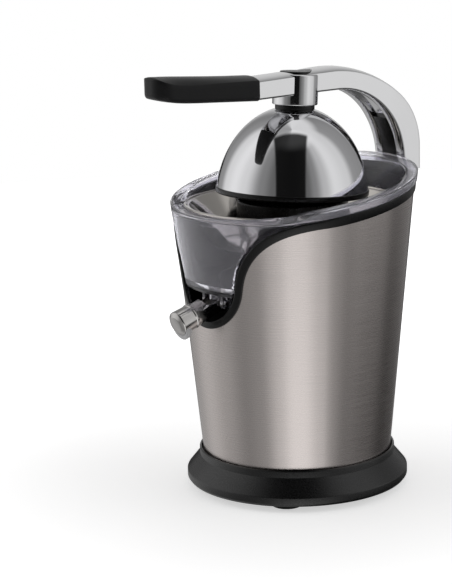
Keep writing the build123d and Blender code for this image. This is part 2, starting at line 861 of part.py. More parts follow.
# The container's front panel, which fills the window inside the trim
with BuildPart() as front_panel:
    with BuildSketch(Plane.XZ):
        with BuildLine():
            Polyline(
                (panel_r(tank_z) - tank_wall, tank_z),
                (panel_r(tank_z), tank_z),
                (panel_r(shell_top), shell_top),
                (panel_r(shell_top) - tank_wall, shell_top),
                close=True,
            )
        make_face()
    revolve(axis=Axis.Z)
    extrude(notch_face(trim_inset + panel_gap), amount=reach, mode=Mode.INTERSECT)

# The groove along the top of the container's rim, between an outer and an inner lip
with BuildPart() as rim_groove:
    with BuildSketch(Plane.XZ):
        with BuildLine():
            Polyline(
                (lip_r(tank_z) - lip_wall - groove_w, tank_z),
                (lip_r(tank_z) - lip_wall, tank_z),
                (lip_r(shell_top) - lip_wall, shell_top),
                (lip_r(shell_top) - lip_wall - groove_w, shell_top),
                close=True,
            )
        make_face()
    revolve(axis=Axis.Z)
    split(bisect_by=rim_plane(groove_d), keep=Keep.TOP)

# Clear container: rim lip on the trim, cup inside the housing, panel, outlet and spout lugs
lip_low = notch_z + notch_r
with BuildPart() as juice_container:
    with BuildSketch(Plane.XZ):
        with BuildLine():
            Polyline(
                (steel_r(lip_low) - tank_inset - tank_wall, lip_low),
                (lip_r(lip_low), lip_low),
                (lip_r(shell_top), shell_top),
                (steel_r(shell_top) - tank_inset - tank_wall, shell_top),
                close=True,
            )
        make_face()
    revolve(axis=Axis.Z)
    split(bisect_by=rim_plane(lip_drop), keep=Keep.TOP)
    with BuildSketch(Plane.XZ):
        with BuildLine():
            Polyline(
                (chimney_r + tube_gap, tank_z),
                (steel_r(tank_z) - tank_inset, tank_z),
                (steel_r(shell_top) - tank_inset, shell_top),
                (steel_r(shell_top) - tank_inset - tank_wall, shell_top),
                (steel_r(strainer_rim_z) - tank_inset - tank_wall, strainer_rim_z - strainer_t),
                (ledge_in_r, strainer_rim_z - strainer_t),
                (ledge_in_r, strainer_rim_z - strainer_t - 1.5),
                (steel_r(strainer_rim_z - 7) - tank_inset - tank_wall, strainer_rim_z - 7),
                (steel_r(tank_floor_top) - tank_inset - tank_wall, tank_floor_top),
                (tube_r, tank_floor_top),
                (tube_r, tube_top),
                (chimney_r + tube_gap, tube_top),
                close=True,
            )
        make_face()
    revolve(axis=Axis.Z)
    add(front_panel.part)
    add(rim_groove.part, mode=Mode.SUBTRACT)
    split(bisect_by=rim_plane(0), keep=Keep.BOTTOM)
    with BuildSketch(Plane.XY.offset(tank_z)):
        with Locations((0, spout_y)):
            Circle(outlet_r)
    extrude(amount=-(tank_z - spout_z - 2.5))
    with BuildSketch(Plane.XY.offset(tank_floor_top)):
        with Locations((0, spout_y)):
            Circle(outlet_bore)
    extrude(amount=-(tank_floor_top - spout_z), mode=Mode.SUBTRACT)
    for side in (-1, 1):
        with BuildSketch(Plane.YZ.offset(side * lug_in)):
            with Locations((spout_y, spout_z)):
                Circle(lug_r)
            with Locations((spout_y, (spout_z + tank_z + 0.5) / 2)):
                Rectangle(2 * lug_r, tank_z + 0.5 - spout_z)
            with Locations((spout_y, spout_z)):
                Circle(trunnion_r + running_gap, mode=Mode.SUBTRACT)
        extrude(amount=side * trunnion_len)
juice_container.part.label = "juice_container"

# Strainer: a metal bowl with radial slots in its floor
strainer_hole_r = tube_r + 0.8
strainer_wall_r = ledge_in_r - 0.6
with BuildPart() as strainer:
    with BuildSketch(Plane.XZ):
        with BuildLine():
            Polyline(
                (strainer_hole_r, strainer_floor_z),
                (strainer_floor_r, strainer_floor_z),
                (strainer_wall_r, strainer_rim_z - strainer_t),
                (strainer_rim_r, strainer_rim_z - strainer_t),
                (strainer_rim_r, strainer_rim_z),
                (strainer_wall_r - strainer_t, strainer_rim_z),
                (strainer_floor_r - strainer_t, strainer_floor_z + strainer_t),
                (strainer_hole_r, strainer_floor_z + strainer_t),
                close=True,
            )
        make_face()
    revolve(axis=Axis.Z)
    with BuildSketch(Plane.XY.offset(strainer_floor_z)):
        with PolarLocations((strainer_floor_r + strainer_hole_r) / 2 + 10, strainer_slots):
            SlotOverall(22, 2.0)
    extrude(amount=strainer_t, mode=Mode.SUBTRACT)
strainer.part.label = "strainer"

# Reamer: hollow skirt, ribbed cone and a hexagonal socket for the shaft
socket_r = shaft_hex / 2 + 4.0
with BuildPart() as reamer:
    with BuildSketch(Plane.XZ):
        with BuildLine():
            Polyline(
                (reamer_skirt_r - reamer_wall, reamer_skirt_z),
                (reamer_skirt_r, reamer_skirt_z),
                (reamer_skirt_r - 0.6, reamer_shoulder_z - 3),
                (reamer_skirt_r - 3.6, reamer_shoulder_z),
                (reamer_cone_r, reamer_shoulder_z + 1),
            )
            ThreePointArc(
                (reamer_cone_r, reamer_shoulder_z + 1),
                (reamer_cone_r * 0.62, (reamer_shoulder_z * 2 + reamer_top_z * 3) / 5),
                (3, reamer_top_z - 1),
            )
            Polyline(
                (3, reamer_top_z - 1),
                (0, reamer_top_z - 1),
                (0, shaft_top_z + 0.5),
                (socket_r, shaft_top_z + 0.5),
                (reamer_skirt_r - reamer_wall, shaft_top_z + 0.5),
                (reamer_skirt_r - reamer_wall, reamer_skirt_z),
            )
        make_face()
    revolve(axis=Axis.Z)
    with BuildSketch(Plane.XY.offset(tube_top + press_travel + 0.6)):
        Circle(socket_r)
        RegularPolygon(shaft_hex / 2 + hex_gap, 6, major_radius=False, mode=Mode.SUBTRACT)
    extrude(amount=shaft_top_z + 0.5 - tube_top - press_travel - 0.6)
    for rib in range(reamer_ribs):
        with BuildSketch(Plane.XZ.rotated((0, 0, 360 / reamer_ribs * rib))):
            with BuildLine():
                Polyline((1, reamer_top_z - 2), (1, reamer_shoulder_z), (reamer_cone_r + 4, reamer_shoulder_z))
                ThreePointArc(
                    (reamer_cone_r + 4, reamer_shoulder_z),
                    (reamer_cone_r * 0.62 + 4.5, (reamer_shoulder_z * 2 + reamer_top_z * 3) / 5 + 2),
                    (2.5, reamer_top_z),
                )
                Line((2.5, reamer_top_z), (1, reamer_top_z - 2))
            make_face()
        extrude(amount=rib_t / 2, both=True)
reamer.part.label = "reamer"

# Spout: a tube from a ball that turns on two trunnions under the outlet
spout_plane = Plane(origin=(0, spout_y, spout_z), x_dir=(1, 0, 0), z_dir=spout_dir)
spout_half = Plane(origin=(0, spout_y, spout_z), x_dir=(1, 0, 0), z_dir=-spout_plane.y_dir)
spout_axis = Axis((0, spout_y, spout_z), spout_dir)
spout_bore = spout_r - spout_wall
ball_bore = spout_ball_r - spout_wall
ball_run = (spout_ball_r**2 - spout_r**2) ** 0.5
bore_run = (ball_bore**2 - spout_bore**2) ** 0.5
bead = spout_len * 0.45
with BuildPart() as spout:
    with BuildSketch(spout_half):
        with BuildLine():
            ThreePointArc((0, -spout_ball_r), (spout_ball_r, 0), (spout_r, ball_run))
            Polyline(
                (spout_r, ball_run),
                (spout_r, bead),
                (spout_r + 0.5, bead + 0.5),
                (spout_r + 0.5, bead + 1.5),
                (spout_r, bead + 2.0),
                (spout_r, spout_len),
                (spout_bore, spout_len),
                (spout_bore, bore_run),
            )
            ThreePointArc((spout_bore, bore_run), (ball_bore, 0), (0, -ball_bore))
            Line((0, -ball_bore), (0, -spout_ball_r))
        make_face()
    revolve(axis=spout_axis)
    with BuildSketch(Plane.YZ):
        with BuildLine():
            inlet = 2 * spout_ball_r
            pivot = Vector(spout_y, spout_z)
            Polyline(
                pivot,
                pivot + Vector(cos(radians(165)), sin(radians(165))) * inlet,
                pivot + Vector(0, inlet),
                pivot + Vector(cos(radians(28)), sin(radians(28))) * inlet,
                close=True,
            )
        make_face()
    extrude(amount=outlet_r + 0.9, both=True, mode=Mode.SUBTRACT)
    for side in (-1, 1):
        with BuildSketch(Plane.YZ.offset(side * (spout_ball_r - spout_wall / 2))):
            with Locations((spout_y, spout_z)):
                Circle(trunnion_r)
        extrude(amount=side * (spout_wall / 2 + lug_gap + trunnion_len))
spout.part.label = "spout"

# Hinge bracket on the shell's rear: a foot that fits the steel and two ears for the pin
with BuildPart() as hinge_bracket:
    with BuildSketch(Plane.YZ):
        with BuildLine():
            slope = radians(-50)
            back = Vector(hinge_y + ear_r * cos(slope), hinge_z + ear_r * sin(slope))
            Line((steel_foot_r, hinge_z + ear_r), (hinge_y, hinge_z + ear_r))
            ThreePointArc((hinge_y, hinge_z + ear_r), (hinge_y + ear_r, hinge_z), back)
            Polyline(
                back,
                (steel_r(bracket_foot_z) + 2, bracket_foot_z),
                (steel_foot_r, bracket_foot_z),
                (steel_foot_r, hinge_z + ear_r),
            )
        make_face()
    extrude(amount=hinge_half_w, both=True)
    with BuildSketch(Plane.XZ):
        with BuildLine():
            Polyline(
                (0, bracket_foot_z - 20),
                (steel_r(bracket_foot_z - 20), bracket_foot_z - 20),
                (steel_r(shell_top), shell_top),
                (0, shell_top),
                close=True,
            )
        make_face()
    revolve(axis=Axis.Z, mode=Mode.SUBTRACT)
    with BuildSketch(Plane.XY.offset(bracket_foot_z)):
        with Locations((0, hinge_y - ear_r - 1 + reach / 2)):
            Rectangle(2 * (hinge_half_w - ear_t), reach)
    extrude(amount=shell_top, mode=Mode.SUBTRACT)
    with BuildSketch(Plane.YZ):
        with Locations((hinge_y, hinge_z)):
            Circle(hinge_pin_r)
    extrude(amount=hinge_half_w, both=True, mode=Mode.SUBTRACT)
    with BuildSketch(Plane.XZ):
        with Locations(*screw_locations):
            Circle(bracket_screw_r)
    extrude(amount=-(hinge_y - ear_r - 3), mode=Mode.SUBTRACT)
hinge_bracket.part.label = "hinge_bracket"

# Two screws from inside the liner into the bracket
with BuildPart() as bracket_screws:
    for z in bracket_screw_zs:
        head_y = steel_r(z - 2 * bracket_screw_r) + liner_in - 0.1
        with BuildSketch(Plane.XZ.offset(-head_y)):
            with Locations((0, z)):
                Circle(bracket_screw_r * 1.8)
        extrude(amount=1.8)
        with BuildSketch(Plane.XZ.offset(-head_y)):
            with Locations((0, z)):
                Circle(bracket_screw_r)
        extrude(amount=-(hinge_y - ear_r - 3 - head_y))
bracket_screws.part.label = "bracket_screws"

# Hinge pin with a head at each end, and the bushes of the arm's tongue
with BuildPart() as hinge_pin:
    with BuildSketch(Plane.YZ):
        with Locations((hinge_y, hinge_z)):
            Circle(hinge_pin_r)
    extrude(amount=hinge_half_w + 1.2, both=True)
    for side in (-1, 1):
        with BuildSketch(Plane.YZ.offset(side * hinge_half_w)):
            with Locations((hinge_y, hinge_z)):
                Circle(hinge_pin_r + 1.5)
        extrude(amount=side * 1.2)
hinge_pin.part.label = "hinge_pin"

tongue_half_w = hinge_half_w - ear_t - tongue_gap
with BuildPart() as hinge_bushes:
    for side in (-1, 1):
        with BuildSketch(Plane.YZ.offset(side * 0.5)):
            with Locations((hinge_y, hinge_z)):
                Circle(hinge_bush_r)
                Circle(hinge_pin_r + running_gap, mode=Mode.SUBTRACT)
        extrude(amount=side * (tongue_half_w - 0.5))
hinge_bushes.part.label = "hinge_bushes"

# The dome's own frame: level at the pressed pose, lifted about the hinge to where it rests
lift = radians(rest_lift)
dome_y = hinge_y - hinge_y * cos(lift) + (dome_ring_z - hinge_z) * sin(lift)
dome_z = hinge_z + hinge_y * sin(lift) + (dome_ring_z - hinge_z) * cos(lift)
dome_frame = Plane(origin=(0, dome_y, dome_z), x_dir=(1, 0, 0), z_dir=(0, sin(lift), cos(lift)))
dome_side = Plane(dome_frame.origin, x_dir=(1, 0, 0), z_dir=-dome_frame.y_dir)
dome_axis = Axis(dome_frame.origin, dome_frame.z_dir)
hub_low = hub_low_z - dome_ring_z
hub_shoulder = hub_shoulder_z - dome_ring_z


def arm_groove(deep, open_by):
    """Side view of the strip along the inside of the arch, from the foot to near the hub."""
    sweep_a = radians(inlay_sweep)
    inner = arm_inner_r - open_by
    outer = arm_inner_r + deep
    c = Vector(arm_inner_y - arm_inner_r, arm_inner_z)
    end = Vector(cos(sweep_a), sin(sweep_a))
    mid = Vector(cos(sweep_a / 2), sin(sweep_a / 2))
    low = arm_foot_z - arm_inner_z
    with BuildSketch(Plane.YZ) as groove:
        with BuildLine():
            Polyline(c + Vector(inner, 0), c + Vector(inner, low), c + Vector(outer, low), c + Vector(outer, 0))
            ThreePointArc(c + Vector(outer, 0), c + mid * outer, c + end * outer)
            Line(c + end * outer, c + end * inner)
            ThreePointArc(c + end * inner, c + mid * inner, c + Vector(inner, 0))
        make_face()
    return groove.sketch


def tang_face(gap):
    """Side view of the tang that carries the grip, which climbs with the grip's underside."""
    rise = (grip_heel_z - grip_low_z) / (neck_y - grip_heel_y) * tang_len
    low = neck_low_z + 4.5
    with BuildSketch(Plane.YZ) as tang:
        with BuildLine():
            Polyline(
                (neck_y + 2, low - gap),
                (neck_y + 2, low + tang_h + gap),
                (neck_y - tang_len - gap, low + tang_h + rise + gap),
                (neck_y - tang_len - gap, low + rise - gap),
                close=True,
            )
        make_face()
    return tang.sketch


# Lever arm: an arched bar with the hub, a tang for the grip and a tongue for the hinge
with BuildPart() as lever_arm:
    with BuildSketch(Plane.YZ):
        with BuildLine():
            foot = Line((arm_inner_y, arm_foot_z), (arm_rear_y, arm_foot_z))
            rear = Line(foot @ 1, (arm_rear_y, arm_turn_z))
            corner = JernArc(rear @ 1, (0, 1), arm_corner_r, arm_corner_turn)
            crest = JernArc(corner @ 1, corner % 1, arm_back_r, 90 - arm_corner_turn)
            Polyline(
                crest @ 1,
                (neck_y, neck_top_z),
                (neck_y, neck_low_z),
                (arm_inner_y - arm_inner_r, arm_inner_z + arm_inner_r),
            )
            ThreePointArc(
                (arm_inner_y - arm_inner_r, arm_inner_z + arm_inner_r),
                (
                    arm_inner_y - arm_inner_r * (1 - cos(pi / 4)),
                    arm_inner_z + arm_inner_r * sin(pi / 4),
                ),
                (arm_inner_y, arm_inner_z),
            )
            Line((arm_inner_y, arm_inner_z), foot @ 0)
        make_face()
    extrude(amount=arm_half_rear, both=True)
    with BuildSketch(Plane.XY):
        with BuildLine():
            Polyline(
                (arm_half_rear, arm_rear_y + 1),
                (arm_half_rear, arm_inner_y - 10),
                (arm_half_front, hub_r),
                (arm_half_front, neck_y - 1),
                (0, neck_y - 1),
            )
            Line((0, arm_rear_y + 1), (arm_half_rear, arm_rear_y + 1))
            mirror(about=Plane.YZ)
        make_face()
    extrude(amount=grip_tip_z + 20, mode=Mode.INTERSECT)
    crest_edges = [
        e
        for e in lever_arm.edges()
        if e.center().Z > arm_turn_z and abs(e.center().X) > arm_half_front - 1 and e.length > 15
    ]
    outer_edges = [
        e
        for e in crest_edges
        if e.center().Z > neck_top_z - 8
        or Vector(0, e.center().Y - arm_inner_y + arm_inner_r, e.center().Z - arm_inner_z).length
        > arm_inner_r + 9
    ]
    chamfer(outer_edges, length=crown_h, length2=crown_w)
    with BuildSketch(dome_frame.offset(hub_low)):
        Circle(hub_r)
    extrude(amount=hub_shoulder - hub_low)
    with BuildSketch(dome_frame.offset(hub_shoulder - 1)):
        Circle(hub_cap_r + tang_gap)
    extrude(amount=crown_w + hub_cap_t, mode=Mode.SUBTRACT)
    with BuildSketch(dome_frame.offset(hub_low)):
        Circle(dome_bolt_r + screw_slip)
    extrude(amount=dome_bolt_len - 6, mode=Mode.SUBTRACT)
    extrude(tang_face(0), amount=tang_half_w, both=True)
    with BuildSketch(Plane.YZ):
        with Locations((hinge_y, hinge_z)):
            Circle(ear_r)
        with Locations((hinge_y, (hinge_z + arm_foot_z + 2) / 2)):
            Rectangle(2 * ear_r, arm_foot_z + 2 - hinge_z)
    extrude(amount=tongue_half_w, both=True)
    with BuildSketch(Plane.YZ):
        with Locations((hinge_y, hinge_z)):
            Circle(hinge_bush_r)
    extrude(amount=tongue_half_w, both=True, mode=Mode.SUBTRACT)
    extrude(arm_groove(inlay_t, 2), amount=inlay_half_w + tang_gap, both=True, mode=Mode.SUBTRACT)
lever_arm.part.label = "lever_arm"

# Black strip that lines the inside of the arch
with BuildPart() as arm_inlay:
    extrude(arm_groove(inlay_t, -0.4), amount=inlay_half_w, both=True)
arm_inlay.part.label = "arm_inlay"

# Cap in the top of the hub
with BuildPart() as hub_cap:
    with BuildSketch(dome_frame.offset(hub_shoulder - 1)):
        Circle(hub_cap_r)
    extrude(amount=hub_cap_t)
    chamfer(hub_cap.edges().group_by(dome_axis)[-1], length=0.6)
hub_cap.part.label = "hub_cap"

# Soft grip over the tang: rising to a rounded end
with BuildPart() as grip:
    with BuildSketch(Plane.YZ):
        with BuildLine():
            tip_y = grip_end_y + 6.5
            ThreePointArc((neck_y, grip_top_z), (grip_mid_y, grip_mid_z), (tip_y, grip_tip_z))
            ThreePointArc(
                (tip_y, grip_tip_z),
                (grip_end_y, (grip_tip_z + grip_tip_low_z) / 2),
                (tip_y + 1, grip_tip_low_z),
            )
            Polyline(
                (tip_y + 1, grip_tip_low_z),
                (grip_heel_y, grip_heel_z),
                (neck_y, grip_low_z),
                (neck_y, grip_top_z),
            )
        make_face()
    extrude(amount=grip_half_w, both=True)
    top_arcs = [e for e in grip.edges() if abs(e.center().X) > 1 and e.center().Z > grip_top_z - 1]
    chamfer([e for e in top_arcs if e.length > 50], length=crown_h, length2=crown_w)
    with BuildSketch(Plane.XY.offset(grip_low_z - 10)) as grip_plan:
        with Locations((0, (neck_y + grip_end_y) / 2)):
            Rectangle(2 * grip_half_w, neck_y - grip_end_y)
        fillet(grip_plan.vertices().sort_by(Axis.Y)[:2], radius=grip_half_w - 2.5)
    extrude(amount=2 * (grip_tip_z - grip_low_z), mode=Mode.INTERSECT)
    extrude(tang_face(tang_gap), amount=tang_half_w + tang_gap, both=True, mode=Mode.SUBTRACT)
grip.part.label = "grip"

# Dome: polished shell with a black ring round its mouth, part of an ellipse whose middle lies below it
dome_rise = dome_h + dome_sink
dome_belly = dome_r / (1 - (dome_sink / dome_rise) ** 2) ** 0.5


def dome_mouth_r(inset):
    """Radius at the mouth of the dome's surface moved in by an inset."""
    return (dome_belly - inset) * (1 - (dome_sink / (dome_rise - inset)) ** 2) ** 0.5


def dome_body(inset):
    """Solid under the dome's surface moved in by an inset."""
    start = degrees(asin(dome_sink / (dome_rise - inset)))
    with BuildPart() as body:
        with BuildSketch(dome_side):
            with BuildLine():
                Polyline((0, dome_h - inset), (0, 0), (dome_mouth_r(inset), 0))
                EllipticalCenterArc(
                    (0, -dome_sink), dome_belly - inset, dome_rise - inset, start, arc_size=90 - start
                )
            make_face()
        revolve(axis=dome_axis)
    return body.part


with BuildPart() as dome_shell:
    add(dome_body(0))
    add(dome_body(dome_wall), mode=Mode.SUBTRACT)
    with BuildSketch(dome_frame):
        Circle(dome_bolt_r + screw_slip)
    extrude(amount=dome_h + 1, mode=Mode.SUBTRACT)
dome_shell.part.label = "dome_shell"

liner_in_r = dome_mouth_r(dome_wall + liner_slip + liner_t)
with BuildPart() as dome_rim:
    with BuildSketch(dome_side):
        with BuildLine():
            Polyline(
                (liner_in_r, 0),
                (dome_r + dome_ring_proud, 0),
                (dome_r + dome_ring_proud, 0.8 - dome_ring_h),
                (dome_r + dome_ring_proud - 0.8, -dome_ring_h),
                (liner_in_r + 0.8, -dome_ring_h),
                (liner_in_r, 0.8 - dome_ring_h),
                close=True,
            )
        make_face()
    revolve(axis=dome_axis)
dome_rim.part.label = "dome_rim"

# Liner inside the dome
with BuildPart() as dome_liner:
    add(dome_body(dome_wall + liner_slip))
    add(dome_body(dome_wall + liner_slip + liner_t), mode=Mode.SUBTRACT)
    with BuildSketch(dome_frame):
        Circle(dome_bolt_head_r + 0.4)
    extrude(amount=dome_h, mode=Mode.SUBTRACT)
dome_liner.part.label = "dome_liner"

# Neck collar between the dome and the hub
with BuildPart() as dome_collar:
    with BuildSketch(dome_frame.offset(dome_h - 4)):
        Circle(collar_r)
        Circle(dome_bolt_r + screw_slip, mode=Mode.SUBTRACT)
    extrude(amount=hub_low - dome_h + 4)
    add(dome_body(0), mode=Mode.SUBTRACT)
dome_collar.part.label = "dome_collar"

# Bolt from inside the dome, through the collar, into the hub
head_slope = (1 - (dome_bolt_head_r / (dome_belly - dome_wall)) ** 2) ** 0.5
head_seat = (dome_rise - dome_wall) * head_slope - dome_sink - 0.05
with BuildPart() as dome_bolt:
    with BuildSketch(dome_frame.offset(head_seat - 4)):
        RegularPolygon(dome_bolt_head_r, 6)
    extrude(amount=4)
    with BuildSketch(dome_frame.offset(head_seat)):
        Circle(dome_bolt_r)
    extrude(amount=hub_low + dome_bolt_len - 7 - head_seat)
dome_bolt.part.label = "dome_bolt"

pieces = (
    base_ring, bottom_cover, rubber_feet, base_screws, cord_gland,
    steel_shell, rim_trim, inner_housing, housing_deck, container_stand,
    gearbox_tray, gearbox_lid, gearbox_screws,
    motor_stator, motor_coils, motor_bracket, motor_bolts, motor_bushes,
    rotor_core, rotor_shaft, motor_pinion, idler_pin, idler_gear, output_gear, gear_circlip,
    switch_plate, return_spring, microswitch, switch_button,
    drive_shaft, shaft_bush, shaft_seal,
    juice_container, strainer, reamer, spout,
    hinge_bracket, bracket_screws, hinge_pin, hinge_bushes,
    lever_arm, arm_inlay, hub_cap, grip,
    dome_shell, dome_rim, dome_liner, dome_collar, dome_bolt,
)
for piece in pieces:
    export_step(piece.part, f"parts/{piece.part.label}.step")
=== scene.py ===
"""Electric citrus juicer with a press lever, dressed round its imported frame.

Sizes are in millimetres and are turned into metres as each mesh is made. The origin lies on the
reamer's axis at worktop level, +Z is up, and the spout and the handle point to -Y.
"""

from math import asin, atan2, cos, hypot, pi, radians, sin, sqrt, tan

import bmesh
import bpy
from mathutils import Matrix, Vector


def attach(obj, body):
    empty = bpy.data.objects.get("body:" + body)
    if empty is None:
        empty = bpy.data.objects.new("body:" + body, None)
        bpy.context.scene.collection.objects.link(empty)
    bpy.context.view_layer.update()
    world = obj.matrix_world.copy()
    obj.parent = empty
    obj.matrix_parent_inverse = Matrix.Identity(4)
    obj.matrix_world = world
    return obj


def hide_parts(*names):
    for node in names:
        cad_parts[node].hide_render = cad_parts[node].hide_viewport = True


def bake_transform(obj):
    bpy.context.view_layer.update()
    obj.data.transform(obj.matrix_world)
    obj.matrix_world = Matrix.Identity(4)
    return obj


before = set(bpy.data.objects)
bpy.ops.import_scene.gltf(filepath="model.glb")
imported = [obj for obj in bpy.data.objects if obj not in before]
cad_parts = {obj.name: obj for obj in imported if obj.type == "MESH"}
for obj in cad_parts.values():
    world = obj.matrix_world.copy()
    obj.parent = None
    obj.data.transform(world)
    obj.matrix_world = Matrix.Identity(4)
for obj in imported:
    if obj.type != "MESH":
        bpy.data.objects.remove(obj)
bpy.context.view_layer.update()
mm = 0.001

# Base ring
# A deep moulding in black ABS with a skirt, a bevel and a collar that the steel shell drops into.
# The tool is spark eroded, so the plastic has a fine matt grain that sparkles where light grazes it.


def linear(colour):
    """A hex colour in sRGB as linear red, green, blue and alpha."""
    parts = [int(colour[i : i + 2], 16) / 255 for i in (1, 3, 5)]
    return [c / 12.92 if c <= 0.04045 else ((c + 0.055) / 1.055) ** 2.4 for c in parts] + [1.0]


def add(tree, kind, links=None, **settings):
    """A new node with its settings, and its inputs set to values or joined to outputs, or to a node's first output."""
    made = tree.nodes.new(kind)
    for key, value in settings.items():
        setattr(made, key, value)
    for key, value in (links or {}).items():
        if isinstance(value, bpy.types.Node):
            value = value.outputs[0]
        if isinstance(value, bpy.types.NodeSocket):
            tree.links.new(value, made.inputs[key])
        else:
            made.inputs[key].default_value = value
    return made


def finish(name, colour, **sockets):
    """A material with one surface shader, its colour and the sockets that are the same all over."""
    material = bpy.data.materials.new(name)
    material.use_nodes = True
    shader = material.node_tree.nodes["Principled BSDF"]
    shader.inputs["Base Color"].default_value = linear(colour)
    for key, value in sockets.items():
        shader.inputs[key.replace("_", " ")].default_value = value
    return material, material.node_tree, shader


def speckle(tree, size, detail, fine=0.5):
    """A noise of a size in millimetres that is fixed to the piece."""
    place, scale = add(tree, "ShaderNodeTexCoord").outputs["Object"], 1 / (size * mm)
    return add(tree, "ShaderNodeTexNoise", {"Vector": place, "Scale": scale, "Detail": detail, "Roughness": fine})


def raised(tree, shader, pattern, strength, depth):
    """Raises a surface by a pattern, to a depth in millimetres."""
    bump = add(tree, "ShaderNodeBump", {"Height": pattern, "Strength": strength, "Distance": depth * mm})
    tree.links.new(bump.outputs["Normal"], shader.inputs["Normal"])


def varied(tree, shader, pattern, low, high, start=0.3, end=0.7):
    """Lets a surface's roughness wander from low to high as a pattern goes from start to end."""
    sheen = add(tree, "ShaderNodeMapRange", {"Value": pattern, 1: start, 2: end, 3: low, 4: high})
    tree.links.new(sheen.outputs["Result"], shader.inputs["Roughness"])


def grained(material, tree, shader, size, depth, rough, swing):
    """Adds a moulded grain of a size in millimetres: bump of a depth, and roughness that varies with it."""
    grain = speckle(tree, size, 3.0, 0.6)
    raised(tree, shader, grain, 1.0, depth)
    varied(tree, shader, grain, rough - swing, rough + swing, 0.35, 0.65)
    return material


def rounded(corners, steps=4):
    """An outline with its corners rounded: each corner is two places and, where it is not sharp, a radius."""
    outline = []
    count = len(corners)
    for i, (x, y, *soft) in enumerate(corners):
        here = Vector((x, y))
        back = Vector(corners[i - 1][:2]) - here
        on = Vector(corners[(i + 1) % count][:2]) - here
        if not soft or back.length < 1e-6 or on.length < 1e-6:
            outline.append((x, y))
            continue
        half = back.angle(on) / 2
        run = min(soft[0] / tan(half), 0.49 * back.length, 0.49 * on.length)
        start, end = here + back.normalized() * run, here + on.normalized() * run
        for k in range(steps + 1):
            t = k / steps
            place = start * (1 - t) ** 2 + here * (2 * t * (1 - t)) + end * t**2
            outline.append((place.x, place.y))
    return outline


def lofted(loops, closed=False):
    """Loops of equal size joined in a row, the last to the first where closed, or with both ends capped."""
    size, count = len(loops[0]), len(loops)
    faces = []
    for i in range(count if closed else count - 1):
        j = (i + 1) % count
        for k in range(size):
            m = (k + 1) % size
            faces.append((i * size + k, j * size + k, j * size + m, i * size + m))
    if not closed:
        faces += [tuple(range(size)), tuple(range((count - 1) * size, count * size))]
    return [point for loop in loops for point in loop], faces


def lathe(outline, turns=192):
    """A closed outline of radii and heights, turned round the upright axis."""
    angles = [2 * pi * i / turns for i in range(turns)]
    return lofted([[(r * cos(a), r * sin(a), z) for r, z in outline] for a in angles], closed=True)


def joined(*shells):
    """Several shells of points and faces as one."""
    points, faces = [], []
    for shell_points, shell_faces in shells:
        first = len(points)
        points += shell_points
        faces += [tuple(i + first for i in face) for face in shell_faces]
    return points, faces


def mesh_of(name, shell):
    """A mesh in metres from a shell in millimetres."""
    mesh = bpy.data.meshes.new(name)
    mesh.from_pydata([Vector(p) * mm for p in shell[0]], [], shell[1])
    return mesh


def linked(name, data):
    """An object that holds some data, put in the scene."""
    made = bpy.data.objects.new(name, data)
    bpy.context.scene.collection.objects.link(made)
    return made


def piece(name, shell, material, body, sharp=32.0):
    """A piece from a shell: merged, faces outwards, smooth up to a sharp edge, on its body, or left fixed in place with
    its transform baked in where two bodies are given.

    It replaces the CAD node of the same name, where there is one.
    """
    mesh = mesh_of(name, shell)
    work = bmesh.new()
    work.from_mesh(mesh)
    bmesh.ops.remove_doubles(work, verts=work.verts, dist=1e-6)
    bmesh.ops.dissolve_degenerate(work, dist=1e-7, edges=work.edges)
    bmesh.ops.recalc_face_normals(work, faces=work.faces)
    work.to_mesh(mesh)
    work.free()
    mesh.shade_smooth()
    mesh.set_sharp_from_angle(angle=radians(sharp))
    mesh.materials.append(material)
    made = linked(name, mesh)
    if isinstance(body, tuple):
        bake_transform(made)
    else:
        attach(made, body)
    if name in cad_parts:
        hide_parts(name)
    return made


def recoat(material, *nodes):
    """Gives CAD nodes whose shape is right a better finish."""
    for node in nodes:
        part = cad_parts[node]
        for holder in part.material_slots:
            holder.material = material


rim_r, rim_z, rim_tilt = 98.9, 244.6, tan(radians(8.06))
shell_foot_r, shell_foot_z, shell_taper = 76.6, 30.3, 0.0958
base_r, base_wall = 90.0, 3.0
skirt_low, skirt_top, bevel_top, collar_top = 4.5, 12.0, 24.0, 30.5
collar_in = shell_foot_r + 1.22
collar_out = collar_in + 1.7
gland_z, gland_bore = 14.5, 3.4


def shell_r(z):
    """Outer radius of the steel shell at a height."""
    return shell_foot_r + shell_taper * (z - shell_foot_z)


# Grain of half a millimetre on the real base, drawn at nearly one so that it shows
abs_grain, abs_depth = 0.9, 0.05
black_abs = grained(
    *finish("black_abs_spark_eroded", "#0f0f10", Specular_IOR_Level=0.5, IOR=1.53),
    abs_grain, abs_depth, 0.32, 0.08,
)
base_outline = rounded(
    [
        (base_r - 1.5, skirt_low, 0.5),
        (base_r, skirt_low + 2.0, 0.8),
        (base_r, skirt_top, 1.6),
        (collar_out + 0.7, bevel_top, 0.9),
        (collar_out, bevel_top + 0.8, 0.5),
        (collar_out, collar_top, 0.9),
        (collar_in, collar_top, 0.4),
        (collar_in, collar_top - 6.0),
        (collar_in - 7.0, collar_top - 6.0),
        (collar_in - 7.0, collar_top - 9.0),
        (collar_out - 1.9, collar_top - 9.0),
        (base_r - base_wall, skirt_top - 1.1),
        (base_r - base_wall, skirt_low + 3.2),
        (base_r - base_wall - 2.4, skirt_low + 3.2),
        (base_r - base_wall - 2.4, skirt_low),
    ]
)


